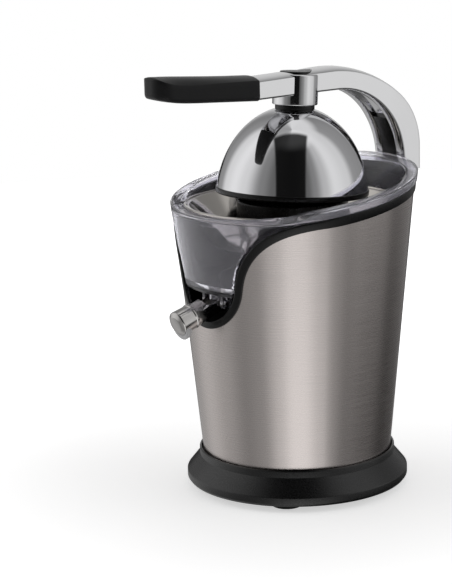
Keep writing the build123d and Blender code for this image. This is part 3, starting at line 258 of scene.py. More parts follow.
def pierced_block(half_w, half_h, corner, hole, near, far, height):
    """A rounded block along Y with a round hole through it, centred on a height."""
    frame_line = rounded(
        [(half_w, half_h, corner), (-half_w, half_h, corner), (-half_w, -half_h, corner), (half_w, -half_h, corner)],
        7,
    )
    soft = 0.6
    loops = []
    for y, grow in ((near, 0.0), (far - soft, 0.0), (far, -soft)):
        loops.append([(x * (1 + grow / half_w), y, height + z * (1 + grow / half_h)) for x, z in frame_line])
    for y in (far, near):
        loops.append([(hole * x / hypot(x, z), y, height + hole * z / hypot(x, z)) for x, z in frame_line])
    return lofted(loops, closed=True)


gland_block = pierced_block(9.0, 6.0, 2.0, 4.95, base_r - 11.0, base_r + 1.0, gland_z)
piece("base_ring", joined(lathe(base_outline), gland_block), black_abs, "stand")
recoat(black_abs, "bottom_cover")

# Feet and cover screws
# Four rubber discs are pressed into pockets under the diagonals, and four pan head screws hold the
# cover to posts inside the base. Each kind is one shape set round a circle.
foot_r, foot_orbit, foot_turn, foot_h = 12.5, 69.5, 45.0, 5.5
under_count, screw_turn = 4, 22.5
rubber = grained(*finish("moulded_rubber", "#161616", Specular_IOR_Level=0.3), 0.7, 0.03, 0.75, 0.08)
zinc = grained(*finish("zinc_plated_steel", "#a3a5a8", Metallic=1.0), 0.6, 0.004, 0.34, 0.08)

ring_tree = bpy.data.node_groups.new("set_round_a_circle", "GeometryNodeTree")
ring_inputs = {"Shape": "Geometry", "Orbit": "Float", "Count": "Int", "Turn": "Float", "Finish": "Material"}
for label, kind in ring_inputs.items():
    ring_tree.interface.new_socket(label, in_out="INPUT", socket_type=f"NodeSocket{kind}")
ring_tree.interface.new_socket("Shape", in_out="OUTPUT", socket_type="NodeSocketGeometry")
ring_in = add(ring_tree, "NodeGroupInput").outputs
ring_line = add(ring_tree, "GeometryNodeMeshCircle", {"Vertices": ring_in["Count"], "Radius": ring_in["Orbit"]})
ring_angle = add(ring_tree, "ShaderNodeCombineXYZ", {"Z": ring_in["Turn"]})
ring_turned = add(ring_tree, "GeometryNodeTransform", {"Geometry": ring_line, "Rotation": ring_angle})
ring_spot = add(ring_tree, "GeometryNodeInputPosition")
ring_face = add(ring_tree, "FunctionNodeAlignRotationToVector", {"Vector": ring_spot}, axis="X")
ring_set = add(
    ring_tree,
    "GeometryNodeInstanceOnPoints",
    {"Points": ring_turned, "Instance": ring_in["Shape"], "Rotation": ring_face},
)
ring_real = add(ring_tree, "GeometryNodeRealizeInstances", {"Geometry": ring_set})
ring_coat = add(ring_tree, "GeometryNodeSetMaterial", {"Geometry": ring_real, "Material": ring_in["Finish"]})
add(ring_tree, "NodeGroupOutput", {"Shape": ring_coat})


def plain_shell(holder):
    """What an object's modifiers make of it, as points in millimetres and faces, with the object removed."""
    bpy.context.view_layer.update()
    mesh = bpy.data.meshes.new_from_object(holder.evaluated_get(bpy.context.evaluated_depsgraph_get()))
    bpy.data.objects.remove(holder)
    return [tuple(v.co / mm) for v in mesh.vertices], [tuple(face.vertices) for face in mesh.polygons]


def ring_of(shell, orbit, count, turn, material):
    """A shell set round the upright axis by the circle tree, facing outwards, as plain points and faces."""
    holder = linked("seed", mesh_of("seed", shell))
    modifier = holder.modifiers.new("round", "NODES")
    modifier.node_group = ring_tree
    sizes = {"Orbit": orbit * mm, "Count": count, "Turn": radians(turn), "Finish": material}
    for item in ring_tree.interface.items_tree:
        if item.in_out == "INPUT" and item.name in sizes:
            modifier[item.identifier] = sizes[item.name]
    return plain_shell(holder)


foot_outline = rounded(
    [(0, 0.6), (foot_r - 4.0, 0.6, 0.3), (foot_r - 3.4, 0.0, 0.3), (foot_r - 0.8, 0.0, 0.5),
     (foot_r, 1.4, 0.6), (foot_r, foot_h), (0, foot_h)],
    3,
)
feet = ring_of(lathe(foot_outline, 64), foot_orbit, under_count, foot_turn, rubber)
piece("rubber_feet", feet, rubber, "stand")

post_orbit = collar_in - 4.1
screw_r, screw_head_r, screw_z = 1.5, 3.0, 4.5
screw_outline = rounded(
    [(0, screw_z + 0.9), (0.8, screw_z + 0.9, 0.1), (1.0, screw_z, 0.1), (screw_head_r - 0.5, screw_z, 0.3),
     (screw_head_r, screw_z + 0.7, 0.3), (screw_head_r, screw_z + 1.5, 0.1), (screw_r, screw_z + 1.5),
     (screw_r, screw_z + 10.5, 0.3), (0, screw_z + 11.0)],
    2,
)
cover_screws = ring_of(lathe(screw_outline, 36), post_orbit, under_count, screw_turn, zinc)
piece("base_screws", cover_screws, zinc, "stand")

# Cord gland
# A rubber bush with a flange and three flex grooves, where the lead enters the rear of the base.
gland_y = base_r + 1.0
gland_outline = rounded(
    [(gland_bore, -12.0, 0.2), (4.9, -12.0, 0.2), (4.9, 0.0, 0.2), (6.9, 0.0, 0.4), (6.9, 1.3, 0.5),
     (5.6, 1.6, 0.3), (5.6, 2.5, 0.4), (gland_bore, 2.5, 0.4)],
    3,
)
gland_points, gland_faces = lathe(gland_outline, 64)
gland_points = [(x, gland_y + z, gland_z + y) for x, y, z in gland_points]
piece("cord_gland", (gland_points, gland_faces), rubber, "stand")

# Steel shell
# One sheet of stainless steel rolled to a slight flare, brushed round the body and cut at the top by
# the rim's slant and the window. Brushing spreads every reflection up and down into soft bands.
window_low, window_r, window_turn, window_run, flare_r = 141.0, 40.0, radians(77.0), 7.0, 62.0
flare_end = radians(78.0)
trim_drop, lip_drop, trim_inset = 14.5, 6.7, 5.8
shell_low = collar_top - 6.0
edge_in, settle_run = 2.0, 0.12


def rim_height(r, a, drop):
    """Height of the slanted rim, less a drop, at a radius and at an angle from the front."""
    return rim_z - drop - rim_tilt * r * cos(a)


def window_edge(inset, t):
    """Place across and height along half the window's edge: 0 to 1 round bottom, 2 straight, 3 flare."""
    across, rise = cos(window_turn), sin(window_turn)
    mid_z, low = window_low + window_r, window_r - inset
    if t <= 1:
        return low * sin(t * window_turn), mid_z - low * cos(t * window_turn)
    if t <= 2:
        run = (t - 1) * window_run
        return low * rise + run * across, mid_z - low * across + run * rise
    flare_x = (window_r + flare_r) * rise + window_run * across
    flare_z = mid_z - (window_r + flare_r) * across + window_run * rise
    start = pi / 2 - window_turn
    turn = start + (t - 2) * (flare_end - start)
    return flare_x - (flare_r + inset) * cos(turn), flare_z + (flare_r + inset) * sin(turn)


def shell_angle(x, z):
    """Angle from the front of a place across and a height on the steel."""
    return asin(max(-1.0, min(1.0, x / shell_r(z))))


def half_edge(inset, drop, counts):
    """Angles and heights along half of the window's edge and of the rim, from the front to the rear."""
    steps = []
    for leg in range(3):
        for k in range(counts[leg]):
            x, z = window_edge(inset, leg + k / counts[leg])
            steps.append((shell_angle(x, z), z))
    x, z = window_edge(inset, 3)
    start = shell_angle(x, z)
    step_down = rim_height(shell_r(z), start, drop) - z
    for k in range(counts[3] + 1):
        t = k / counts[3]
        a = start + (pi - start) * t
        height = rim_height(rim_r - edge_in, a, drop)
        settle = max(0.0, 1 - t / settle_run)
        steps.append((a, height - step_down * settle**2))
    return steps


def front(a, r, z):
    """A point at an angle from the front, a radius and a height."""
    return r * sin(a), -r * cos(a), z


def spread(low, high, steps):
    """Even steps from low to high, with both ends."""
    return [low + (high - low) * k / steps for k in range(steps + 1)]


edge_counts, steel_rows, steel_t = (20, 4, 26, 60), 24, 0.8
steel_edge = half_edge(0.0, trim_drop, edge_counts)
steel_loops = []
for a, top in steel_edge + [(-a, z) for a, z in steel_edge[-2:0:-1]]:
    heights = spread(shell_low, top, steel_rows)
    outside = [front(a, shell_r(z), z) for z in heights]
    steel_loops.append(outside + [front(a, shell_r(z) - steel_t, z) for z in heights[::-1]])

brushed, tree, shader = finish(
    "brushed_stainless_steel", "#b4aca8", Metallic=1.0, Anisotropic=0.72, Anisotropic_Rotation=0.25
)
# Scratches run 45 mm round the body and are 0.3 mm apart, drawn 0.6 mm apart so that they show
scratch_l, scratch_w = 45.0, 0.6
around = add(tree, "ShaderNodeUVMap", uv_map="round_the_body")
stretch = add(
    tree, "ShaderNodeMapping", {"Vector": around, "Scale": (1 / (scratch_l * mm), 1 / (scratch_w * mm), 1.0)}
)
scratches = add(
    tree, "ShaderNodeTexNoise", {"Vector": stretch, "Scale": 1.0, "Detail": 4.0, "Roughness": 0.65}
)
varied(tree, shader, scratches, 0.25, 0.30)
raised(tree, shader, scratches, 0.3, 0.002)
tones = {"Factor": scratches, 6: linear("#c5bdba"), 7: linear("#cdc6c3")}
shade = add(tree, "ShaderNodeMix", tones, data_type="RGBA")
tree.links.new(shade.outputs[2], shader.inputs["Base Color"])
along = add(tree, "ShaderNodeTangent", direction_type="UV_MAP", uv_map="round_the_body")
tree.links.new(along.outputs["Tangent"], shader.inputs["Tangent"])

shell = piece("steel_shell", lofted(steel_loops, closed=True), brushed, "stand")
steel_map = shell.data.uv_layers.new(name="round_the_body")
for face in shell.data.polygons:
    turns = [atan2(shell.data.vertices[v].co.x, -shell.data.vertices[v].co.y) for v in face.vertices]
    if max(turns) - min(turns) > pi:
        turns = [t + 2 * pi if t < 0 else t for t in turns]
    for corner, v, t in zip(face.loop_indices, face.vertices, turns):
        steel_map.data[corner].uv = (t * rim_r * mm, shell.data.vertices[v].co.z)

# Rim trim
# A satin black moulding that edges the steel along the rim and round the window, a millimetre proud
# of the sheet, with rounded shoulders that catch a thin line of light.
trim_proud, trim_back, trim_width, trim_lap = 1.2, -2.5, 6.4, 0.3
satin_black = grained(
    *finish("black_abs_satin", "#0b0b0b", Specular_IOR_Level=0.28, IOR=1.53), 0.6, 0.008, 0.30, 0.06
)
trim_section = rounded(
    [(0.0, trim_back, 0.3), (0.0, trim_proud, 0.9), (trim_width, trim_proud, 1.3), (trim_width, trim_back, 0.3)], 5
)
trim_outer = half_edge(-trim_lap, trim_drop + trim_lap, edge_counts)
trim_pairs = list(zip(trim_outer, half_edge(trim_inset, lip_drop, edge_counts)))
trim_pairs += [((-o[0], o[1]), (-i[0], i[1])) for o, i in trim_pairs[-2:0:-1]]
trim_loops = []
for (a0, z0), (a1, z1) in trim_pairs:
    loop = []
    for across, proud in trim_section:
        w = across / trim_width
        z = z0 + (z1 - z0) * w
        loop.append(front(a0 + (a1 - a0) * w, shell_r(z) + proud, z))
    trim_loops.append(loop)
piece("rim_trim", lofted(trim_loops, closed=True), satin_black, "stand")

# Inner housing and drive
# Black polypropylene behind the steel carries the gearbox, the motor and the press switch. Acetal
# gears run in sintered bronze, and the motor is a stack of sheet steel with enamelled copper coils.
housing_black = grained(*finish("black_polypropylene", "#121213", Specular_IOR_Level=0.4), 1.0, 0.02, 0.45, 0.08)
grey_abs = grained(*finish("grey_abs", "#6d6f72", Specular_IOR_Level=0.5), 0.9, 0.02, 0.45, 0.08)
acetal = grained(*finish("natural_acetal", "#e9e6dc", Specular_IOR_Level=0.5), 0.8, 0.01, 0.35, 0.06)
bronze = grained(*finish("sintered_bronze", "#a87a48", Metallic=1.0), 0.4, 0.012, 0.42, 0.10)
spring_steel = grained(*finish("ground_steel", "#b9bbbe", Metallic=1.0), 0.5, 0.004, 0.22, 0.06)


def striped(material, tree, shader, spacing, direction, low, high):
    """Adds fine stripes of a spacing in millimetres along one axis, for stacked sheet or wound wire."""
    place = add(tree, "ShaderNodeTexCoord")
    stripes = add(
        tree,
        "ShaderNodeTexWave",
        {"Vector": place.outputs["Object"], "Scale": pi / (10 * spacing * mm), "Distortion": 0.4, "Detail Scale": 3.0},
        bands_direction=direction,
    )
    tones = {"Factor": stripes.outputs["Fac"], 6: linear(low), 7: linear(high)}
    colour = add(tree, "ShaderNodeMix", tones, data_type="RGBA")
    tree.links.new(colour.outputs[2], shader.inputs["Base Color"])
    raised(tree, shader, stripes.outputs["Fac"], 0.8, 0.05)
    return material


lamination = striped(
    *finish("silicon_steel_sheet", "#55585c", Metallic=1.0, Roughness=0.42), 0.5, "Z", "#44474b", "#6c6f74"
)
copper = striped(
    *finish("enamelled_copper", "#a5552a", Metallic=1.0, Roughness=0.28), 0.6, "X", "#7e3a1a", "#bd6a38"
)
recoat(housing_black, "inner_housing", "housing_deck", "container_stand", "microswitch", "switch_plate")
recoat(grey_abs, "gearbox_tray", "gearbox_lid")
recoat(acetal, "idler_gear", "output_gear", "switch_button")
recoat(bronze, "motor_bushes", "shaft_bush", "hinge_bushes", "motor_pinion")
recoat(spring_steel, "rotor_shaft", "idler_pin", "gear_circlip", "drive_shaft")
recoat(zinc, "gearbox_screws", "motor_bracket", "motor_bolts", "bracket_screws", "dome_bolt")
recoat(lamination, "motor_stator", "rotor_core")
recoat(copper, "motor_coils")
recoat(rubber, "shaft_seal")

# Return spring
# Four turns of round steel wire under the switch plate, which squeezes them as the reamer goes down.
# It stands fixed in place and is bound to neither the stand nor the plunger.
coil_r, wire_r, coil_turns, coil_low, coil_high = 13.2, 0.7, 4, 116.7, 130.3
coil_steps, wire_sides = 192, 10
wire_line = [(wire_r * cos(t), wire_r * sin(t)) for t in spread(0.0, 2 * pi, wire_sides)[:-1]]
coil_loops = []
for a, z in zip(spread(0.0, 2 * pi * coil_turns, coil_steps), spread(coil_low, coil_high, coil_steps)):
    coil_loops.append([((coil_r + out) * cos(a), (coil_r + out) * sin(a), z + up) for out, up in wire_line])
squeezed = ("stand", "plunger", (0, 0, coil_low * mm), (0, 0, coil_high * mm))
piece("return_spring", lofted(coil_loops), spring_steel, squeezed)

# Juice container
# Injection moulded clear SAN: a cup with a central tube, a grooved rim that rests on the trim, and a
# front panel that fills the window. Two millimetres of wall show a faint grey violet in the edges.
tank_z, tank_floor, tank_wall, tank_inset = 169.0, 3.0, 2.2, 6.0
panel_foot_r, panel_foot_z, panel_taper, panel_gap = 89.9, 170.0, 0.122, 0.5
lip_flare, rim_rounds = 0.11, 12
strainer_rim_r, strainer_rim_z, ledge_in_r = 87.2, 230.7, 84.2
tube_in, tube_out, tube_top = 11.3, 13.5, 203.0
clear_san, tree, shader = finish(
    "clear_moulded_san", "#edecf3", Transmission_Weight=0.93, IOR=1.4, Roughness=0.07, Specular_IOR_Level=0.5
)
raised(tree, shader, speckle(tree, 18.0, 1.0), 0.25, 0.15)


def lip_r(z):
    """Outer radius of the container's rim at a height."""
    return rim_r + lip_flare * (z - rim_z)


def at_rim(a, drop, radius):
    """Radius and height where a wall, given as radius by height, meets the slanted rim less a drop."""
    z = rim_z
    for _ in range(rim_rounds):
        z = rim_height(radius(z), a, drop)
    return radius(z), z


panel_edge = [window_edge(trim_inset + panel_gap, 3 * k / 90) for k in range(91)]
panel_step, panel_soft, soft_from, soft_rise = 1.8, 12.0, 204.0, 20.0
lip_skin, wall_rows = 2.2, 36
solid_from, solid_run = radians(66.0), radians(16.0)


def held(t):
    """A share held between 0 and 1."""
    return max(0.0, min(1.0, t))


def eased(t):
    """A share held between 0 and 1 that starts and stops gently."""
    return held(t) ** 2 * (3 - 2 * held(t))


def panel_r(z):
    """Outer radius of the front panel, which flares more than the steel."""
    return panel_foot_r + panel_taper * (z - panel_foot_z)


def panel_share(a, z):
    """How far the wall at an angle and a height has stepped out from the cup to the front panel."""
    half = panel_edge[-1][0]
    for (x0, z0), (x1, z1) in zip(panel_edge, panel_edge[1:]):
        if z0 <= z <= z1:
            half = x0 + (x1 - x0) * (z - z0) / max(z1 - z0, 1e-6)
            break
    soft = panel_step + panel_soft * held((z - soft_from) / soft_rise)
    return eased((half - abs(panel_r(z) * sin(a))) / soft) if cos(a) > 0 else 0.0


def wall_r(a, z):
    """Outer radius of the container's wall at an angle and a height."""
    return shell_r(z) - tank_inset + (panel_r(z) - shell_r(z) + tank_inset) * panel_share(a, z)


def cup_section(a):
    """The container's wall at an angle from the front: outside, rim, inside, floor and tube."""
    lip, skirt = at_rim(a, 0.0, lip_r), at_rim(a, lip_drop, lip_r)
    solid = eased((solid_from - abs(atan2(sin(a), cos(a)))) / solid_run)
    under_drop = lip_skin + (lip_drop - 0.3 - lip_skin) * solid
    under = at_rim(a, under_drop, lambda z: wall_r(a, z))
    hollow = min(max(lip_r(under[1]) - lip_skin, under[0] + 0.2), skirt[0] - 0.3)
    mouth = at_rim(a, 0.3, lambda z: wall_r(a, z) - tank_wall)
    ledge_z, floor_top = strainer_rim_z - 1.2, tank_z + tank_floor
    step_z = min(ledge_z, mouth[1] - 0.4)
    corners = [(wall_r(a, tank_z) - 1.2, tank_z)]
    corners += [(wall_r(a, z), z) for z in spread(tank_z + 2.0, under[1], wall_rows)[:-1]]
    corners += [under, (hollow, rim_height(hollow, a, under_drop), 0.3)]
    corners += [(hollow, rim_height(hollow, a, lip_drop), 0.2), (*skirt, 0.4), (*lip, 1.0)]
    corners += [(*mouth, 0.8), (wall_r(a, step_z) - tank_wall, step_z, 0.15)]
    corners += [(ledge_in_r, step_z, 0.2), (ledge_in_r, step_z - 1.6, 0.2)]
    corners += [(wall_r(a, z) - tank_wall, z) for z in spread(ledge_z - 2.0, floor_top + 4.0, wall_rows)]
    corners += [(wall_r(a, floor_top) - tank_wall - 3.0, floor_top)]
    corners += [(tube_out, floor_top, 1.5), (tube_out, tube_top, 0.6), (tube_in, tube_top, 0.6), (tube_in, tank_z, 0.5)]
    return rounded(corners, 4)


cup_angles = [radians(a) for a in spread(-50, 50, 200) + spread(52, 308, 128)]
cup_shell = lofted([[front(a, r, z) for r, z in cup_section(a)] for a in cup_angles], closed=True)

mark_z, mark_h, mark_left, mark_right, mark_sunk, mark_proud = 193.5, 0.7, -4.48, 1.92, -0.2, 0.3
mark_top = mark_z + mark_h
mark_section = [(mark_z, mark_sunk), (mark_z, mark_proud), (mark_top, mark_proud), (mark_top, mark_sunk)]
mark_angles = spread(radians(mark_left), radians(mark_right), 8)
level_mark = lofted([[front(a, panel_r(z) + out, z) for z, out in mark_section] for a in mark_angles])


def placed(shell, seat):
    """A shell carried to a seat."""
    return [tuple(seat @ Vector(p)) for p in shell[0]], shell[1]


spout_y, spout_z, outlet_r, outlet_bore = -76.4, 160.7, 6.6, 4.9
outlet_low, outlet_high = spout_z + 2.5, tank_z + 0.4
outlet_outline = rounded(
    [(outlet_bore, outlet_low, 0.3), (outlet_r, outlet_low, 0.5), (outlet_r, outlet_high),
     (outlet_bore, outlet_high)],
    3,
)
outlet = placed(lathe(outlet_outline, 48), Matrix.Translation((0, spout_y, 0)))
lug_in, lug_t, lug_r = 10.0, 3.4, 4.8


def ear(near, far, soft, shrink, y, z, radius, top, steps):
    """A tab across X from near to far: round under its middle at a place and a height, and flat on top."""
    line = [(y + radius * cos(t), z + radius * sin(t)) for t in spread(pi, 2 * pi, steps)]
    line += [(y + radius, top), (y - radius, top)]
    step = soft if far > near else -soft
    loops = []
    for x, grow in ((near, shrink), (near + step, 1.0), (far - step, 1.0), (far, shrink)):
        loops.append([(x, y + (p - y) * grow, z + (q - z) * grow) for p, q in line])
    return lofted(loops)


lugs = [
    ear(side * lug_in, side * (lug_in + lug_t), 0.3, 0.94, spout_y, spout_z, lug_r, outlet_high, 16) for side in (-1, 1)
]
piece("juice_container", joined(cup_shell, outlet, *lugs, level_mark), clear_san, "stand")

# Strainer
# A pressed and polished stainless bowl on the container's ledge, with radial slots that let the juice
# through and hold the pulp back.
strainer_t, strainer_floor_z, strainer_floor_r, strainer_hole_r = 1.2, 199.8, 66.0, 14.3
strainer_slots, slot_l, slot_w, inner_ring_r = 32, 22.0, 2.0, 26.0


def hazed(material, tree, shader, size, detail, low, high, fine=0.5):
    """Adds the haze of polishing, of a size in millimetres: roughness that wanders from low to high."""
    varied(tree, shader, speckle(tree, size, detail, fine), low, high)
    return material


polished = hazed(*finish("polished_stainless_steel", "#b8b4af", Metallic=1.0), 6.0, 5.0, 0.06, 0.11)

bowl_r, bead_h = ledge_in_r - 0.6, 1.1
wall_outline = rounded(
    [
        (strainer_floor_r - 1.5, strainer_floor_z),
        (strainer_floor_r, strainer_floor_z, 3.0),
        (bowl_r, strainer_rim_z - strainer_t, 1.0),
        (strainer_rim_r, strainer_rim_z - strainer_t, 0.9),
        (strainer_rim_r, strainer_rim_z + bead_h, 1.0),
        (strainer_rim_r - 2.2, strainer_rim_z + bead_h, 1.0),
        (strainer_rim_r - 2.4, strainer_rim_z, 0.3),
        (bowl_r - strainer_t, strainer_rim_z, 1.6),
        (strainer_floor_r - strainer_t, strainer_floor_z + strainer_t, 3.0),
        (strainer_floor_r - 1.5, strainer_floor_z + strainer_t),
    ],
    5,
)
slot_mid = (strainer_floor_r + strainer_hole_r) / 2 + 10
slot_low, slot_high = slot_mid - slot_l / 2, slot_mid + slot_l / 2
floor_radii = [strainer_hole_r, inner_ring_r, *spread(slot_low, slot_high, 6), strainer_floor_r - 1.4]
sector = pi / strainer_slots
radii = len(floor_radii)
slot_span = range(2, radii - 2)
sector_points = []
for z in (strainer_floor_z, strainer_floor_z + strainer_t):
    for r in floor_radii:
        half = slot_w / 2 / r
        sector_points += [(r * cos(t) - slot_mid, r * sin(t), z) for t in (-sector, -half, half, sector)]


def sector_at(side, j, c):
    """Index of a point of one sector of the strainer's floor: face, radius and place across."""
    return (side * radii + j) * 4 + c


sector_faces = []
for j in range(radii - 1):
    for c in range(3):
        if c != 1 or j not in slot_span:
            corners = ((j, c), (j + 1, c), (j + 1, c + 1), (j, c + 1))
            sector_faces += [tuple(sector_at(side, *corner) for corner in corners) for side in (0, 1)]
walls = [((j, c), (j + 1, c)) for j in slot_span for c in (1, 2)]
walls += [((j, 1), (j, 2)) for j in (slot_span[0], slot_span[-1] + 1)]
walls += [((j, c), (j, c + 1)) for j in (0, radii - 1) for c in range(3)]
for p, q in walls:
    sector_faces.append((sector_at(0, *p), sector_at(0, *q), sector_at(1, *q), sector_at(1, *p)))
strainer_floor = ring_of((sector_points, sector_faces), slot_mid, strainer_slots, 0.0, polished)
piece("strainer", joined(lathe(wall_outline), strainer_floor), polished, "stand")

# Reamer
# A hollow black moulding that drops over the shaft: a plain skirt, a shoulder and a cone whose ten
# ribs tear the fruit. The plastic is gloss black, tumbled smooth for cleaning.
reamer_r, reamer_low, shoulder_z, reamer_top, reamer_wall = 45.0, 205.0, 236.0, 282.0, 3.0
reamer_ribs, rib_h, roof_z = 10, 4.2, 230.5
gloss_black = grained(
    *finish("black_polypropylene_gloss", "#070708", Specular_IOR_Level=0.18), 2.0, 0.01, 0.30, 0.05
)


def cone_r(t):
    """Radius and height up the reamer's cone, from its shoulder at 0 to its tip at 1."""
    bow = sin(t * pi) * 3.2
    return 36.0 * (1 - t) ** 0.92 + 3.0 * t + bow * (1 - t), shoulder_z + 1.0 + (reamer_top - 2.0 - shoulder_z) * t


rib_columns, cone_steps = 20, 30
places = [k / rib_columns - 0.5 for k in range(rib_columns + 1)]
skirt_line = rounded(
    [(reamer_r - reamer_wall, roof_z), (reamer_r - reamer_wall, reamer_low, 0.6), (reamer_r, reamer_low, 0.8),
     (reamer_r - 0.6, shoulder_z - 2.5, 2.5), (reamer_r - 4.5, shoulder_z, 1.5), (38.5, shoulder_z + 0.2)], 4
)[:-1]
rib_rows = [[(0.0, roof_z)] * len(places)] + [[(r, z)] * len(places) for r, z in skirt_line]
for k in range(cone_steps + 1):
    t = k / cone_steps
    r, z = cone_r(t)
    grow = rib_h * min(1.0, t / 0.08) * (1 - 0.55 * t)
    ridges = [max(0.0, cos(place * pi)) ** (6 - 3.5 * t) for place in places]
    rib_rows.append([(r + ridge * grow, z + 1.2 * ridge * t) for ridge in ridges])
rib_rows.append([(0.0, reamer_top)] * len(places))
rib_points = []
for row in rib_rows:
    for (r, z), place in zip(row, places):
        a = 2 * pi * place / reamer_ribs
        rib_points.append((r * cos(a) - reamer_r, r * sin(a), z))
rib_faces = []
for i in range(len(rib_rows) - 1):
    for k in range(rib_columns):
        first = i * len(places) + k
        rib_faces.append((first, first + 1, first + 1 + len(places), first + len(places)))
reamer_shell = ring_of((rib_points, rib_faces), reamer_r, reamer_ribs, 0.0, gloss_black)
piece("reamer", reamer_shell, gloss_black, "spindle", sharp=50)

# Spout
# A satin stainless nozzle on a ball that tips up on two trunnions to stop drips. It widens past a
# rolled bead to a closed end, and pours through a hole in a pale moulded lip under that end.
spout_drop, ball_r, spout_end, spout_r = radians(18.0), 9.5, 42.6, 10.2
spout_seat = Matrix.Translation((0, spout_y, spout_z)) @ Matrix.Rotation(pi / 2 + spout_drop, 4, "X")
spout_line = [(0.0, -ball_r)] + [(ball_r * cos(t), ball_r * sin(t)) for t in spread(-pi / 2, 0.35, 14)[1:]]
spout_line += rounded(
    [
        (8.6, 5.5),
        (8.4, 9.0, 4.0),
        (9.5, 25.9, 0.3),
        (10.2, 26.5, 0.5),
        (10.2, 27.7, 0.5),
        (9.7, 28.3, 0.3),
        (spout_r, spout_end - 2.2, 1.6),
        (6.8, spout_end - 0.2, 5.0),
        (0.0, spout_end + 0.6),
    ],
    6,
)
bore_line = [(0.0, 40.6), (8.0, 38.8), (8.3, 28.0), (4.4, 15.5), (1.0, 3.6), (0.0, 3.4)]


def carved(shell, *cutters):
    """A closed shell with the space of others cut out of it."""
    for cutter in cutters:
        holders = []
        for solid in (shell, cutter):
            mesh = mesh_of("carving", solid)
            work = bmesh.new()
            work.from_mesh(mesh)
            bmesh.ops.remove_doubles(work, verts=work.verts, dist=1e-6)
            if work.calc_volume(signed=True) < 0:
                bmesh.ops.reverse_faces(work, faces=work.faces)
            work.to_mesh(mesh)
            work.free()
            holders.append(linked("carving", mesh))
        modifier = holders[0].modifiers.new("cut", "BOOLEAN")
        modifier.operation, modifier.solver, modifier.object = "DIFFERENCE", "EXACT", holders[1]
        shell = plain_shell(holders[0])
        bpy.data.objects.remove(holders[1])
    return shell


inlet_half, pour_s, pour_r, trunnion_r = 7.6, 34.6, 4.6, 2.2
inlet_line = [(0.0, -3.5), (-15.6, 0.8), (-22.3, 12.4), (-14.0, 20.0), (0.0, 20.0), (17.7, 9.4)]
inlet_cut = lofted([[(x, spout_y + y, spout_z + z) for y, z in inlet_line] for x in (-inlet_half, inlet_half)])
drop_cut = lathe([(0.0, -4.0), (outlet_bore, -4.0), (outlet_bore, 9.0), (0.0, 9.0)], 48)
drop_cut = placed(drop_cut, Matrix.Translation((0, spout_y, spout_z)))
pour_cut = lathe([(0.0, 5.0), (pour_r, 5.0), (pour_r, 20.0), (0.0, 20.0)], 48)
pour_cut = placed(([(x, -z, y + pour_s) for x, y, z in pour_cut[0]], pour_cut[1]), spout_seat)
pin_outline = rounded([(0.01, 0), (trunnion_r, 0), (trunnion_r, 5.2, 0.4), (0.01, 5.2)], 3)
pins = []
for end in (-1, 1):
    pin_points, pin_faces = lathe(pin_outline, 24)
    pins.append(([(end * (8.0 + z), spout_y + x, spout_z + y) for x, y, z in pin_points], pin_faces))
satin_steel = hazed(*finish("satin_stainless", "#b9b7b5", Metallic=1.0), 4.0, 4.0, 0.13, 0.18)
bore = placed(lathe(bore_line, 64), spout_seat)
spout_tube = carved(placed(lathe(spout_line, 96), spout_seat), bore, inlet_cut, drop_cut, pour_cut)
piece("spout", joined(spout_tube, *pins), satin_steel, "spout_tube")

silicone = grained(*finish("pale_silicone", "#e4e4e5", Specular_IOR_Level=0.4), 1.2, 0.01, 0.4, 0.05)
lip_fall, lip_round = 4.2, 9.8
lip_start, lip_end = spout_end - 8.4, spout_end - 2.4
lip_line = rounded(
    [(0.0, lip_start), (lip_round - 1.5, lip_start, 1.0), (lip_round, lip_start + 3.0, 2.0),
     (lip_round, lip_end, 1.0), (0.0, lip_end)],
    4,
)
mouth_lip = lathe(lip_line, 96)
mouth_lip = placed(([(x, y - lip_fall, z) for x, y, z in mouth_lip[0]], mouth_lip[1]), spout_seat)
piece("spout_lip", carved(mouth_lip, pour_cut), silicone, "spout_tube")

# Lever hinge
# Black nylon ears screwed to the rear of the shell carry a steel pin with rounded heads.
bracket_black = grained(
    *finish("black_glass_filled_nylon", "#171718", Specular_IOR_Level=0.5), 0.8, 0.03, 0.42, 0.08
)
recoat(bracket_black, "hinge_bracket")
recoat(spring_steel, "hinge_pin")

# Lever arm
# A chrome plated zinc casting: a bar with flat sides and a crowned back that arches from the hinge to
# the hub over the dome, with a groove for a black strip along the inside of the arch.
rear_y, foot_z, turn_z, corner_r, corner_turn, crest_r = 122.5, 246.0, 266.0, 58.0, radians(50.0), 107.0
inner_y, inner_z, inner_r = 102.8, 252.5, 65.0
neck_y, neck_top, neck_low = -40.7, 333.1, 316.3
half_rear, half_front = 18.5, 13.6
crown_h, groove_half, groove_deep, groove_sweep = 3.2, 8.6, 2.6, radians(78.0)
lift = radians(3.5)
hinge_y, hinge_z = 111.5, 236.0
dome_ring_z = 235.1
dome_y = hinge_y - hinge_y * cos(lift) + (dome_ring_z - hinge_z) * sin(lift)
dome_z = hinge_z + hinge_y * sin(lift) + (dome_ring_z - hinge_z) * cos(lift)
seat = Matrix.Translation((0, dome_y, dome_z)) @ Matrix.Rotation(-lift, 4, "X")
hub_low, hub_top, hub_r, cap_r = 66.1, 90.4, 18.0, 12.5
hub_mid_y = (seat @ Vector((0, 0, hub_top))).y
cap_seat_r, cap_seat_z = cap_r + 0.1, hub_top - 1.0


def heading(turn):
    """A unit step at an angle, in the plane along and up."""
    return Vector((cos(turn), sin(turn)))


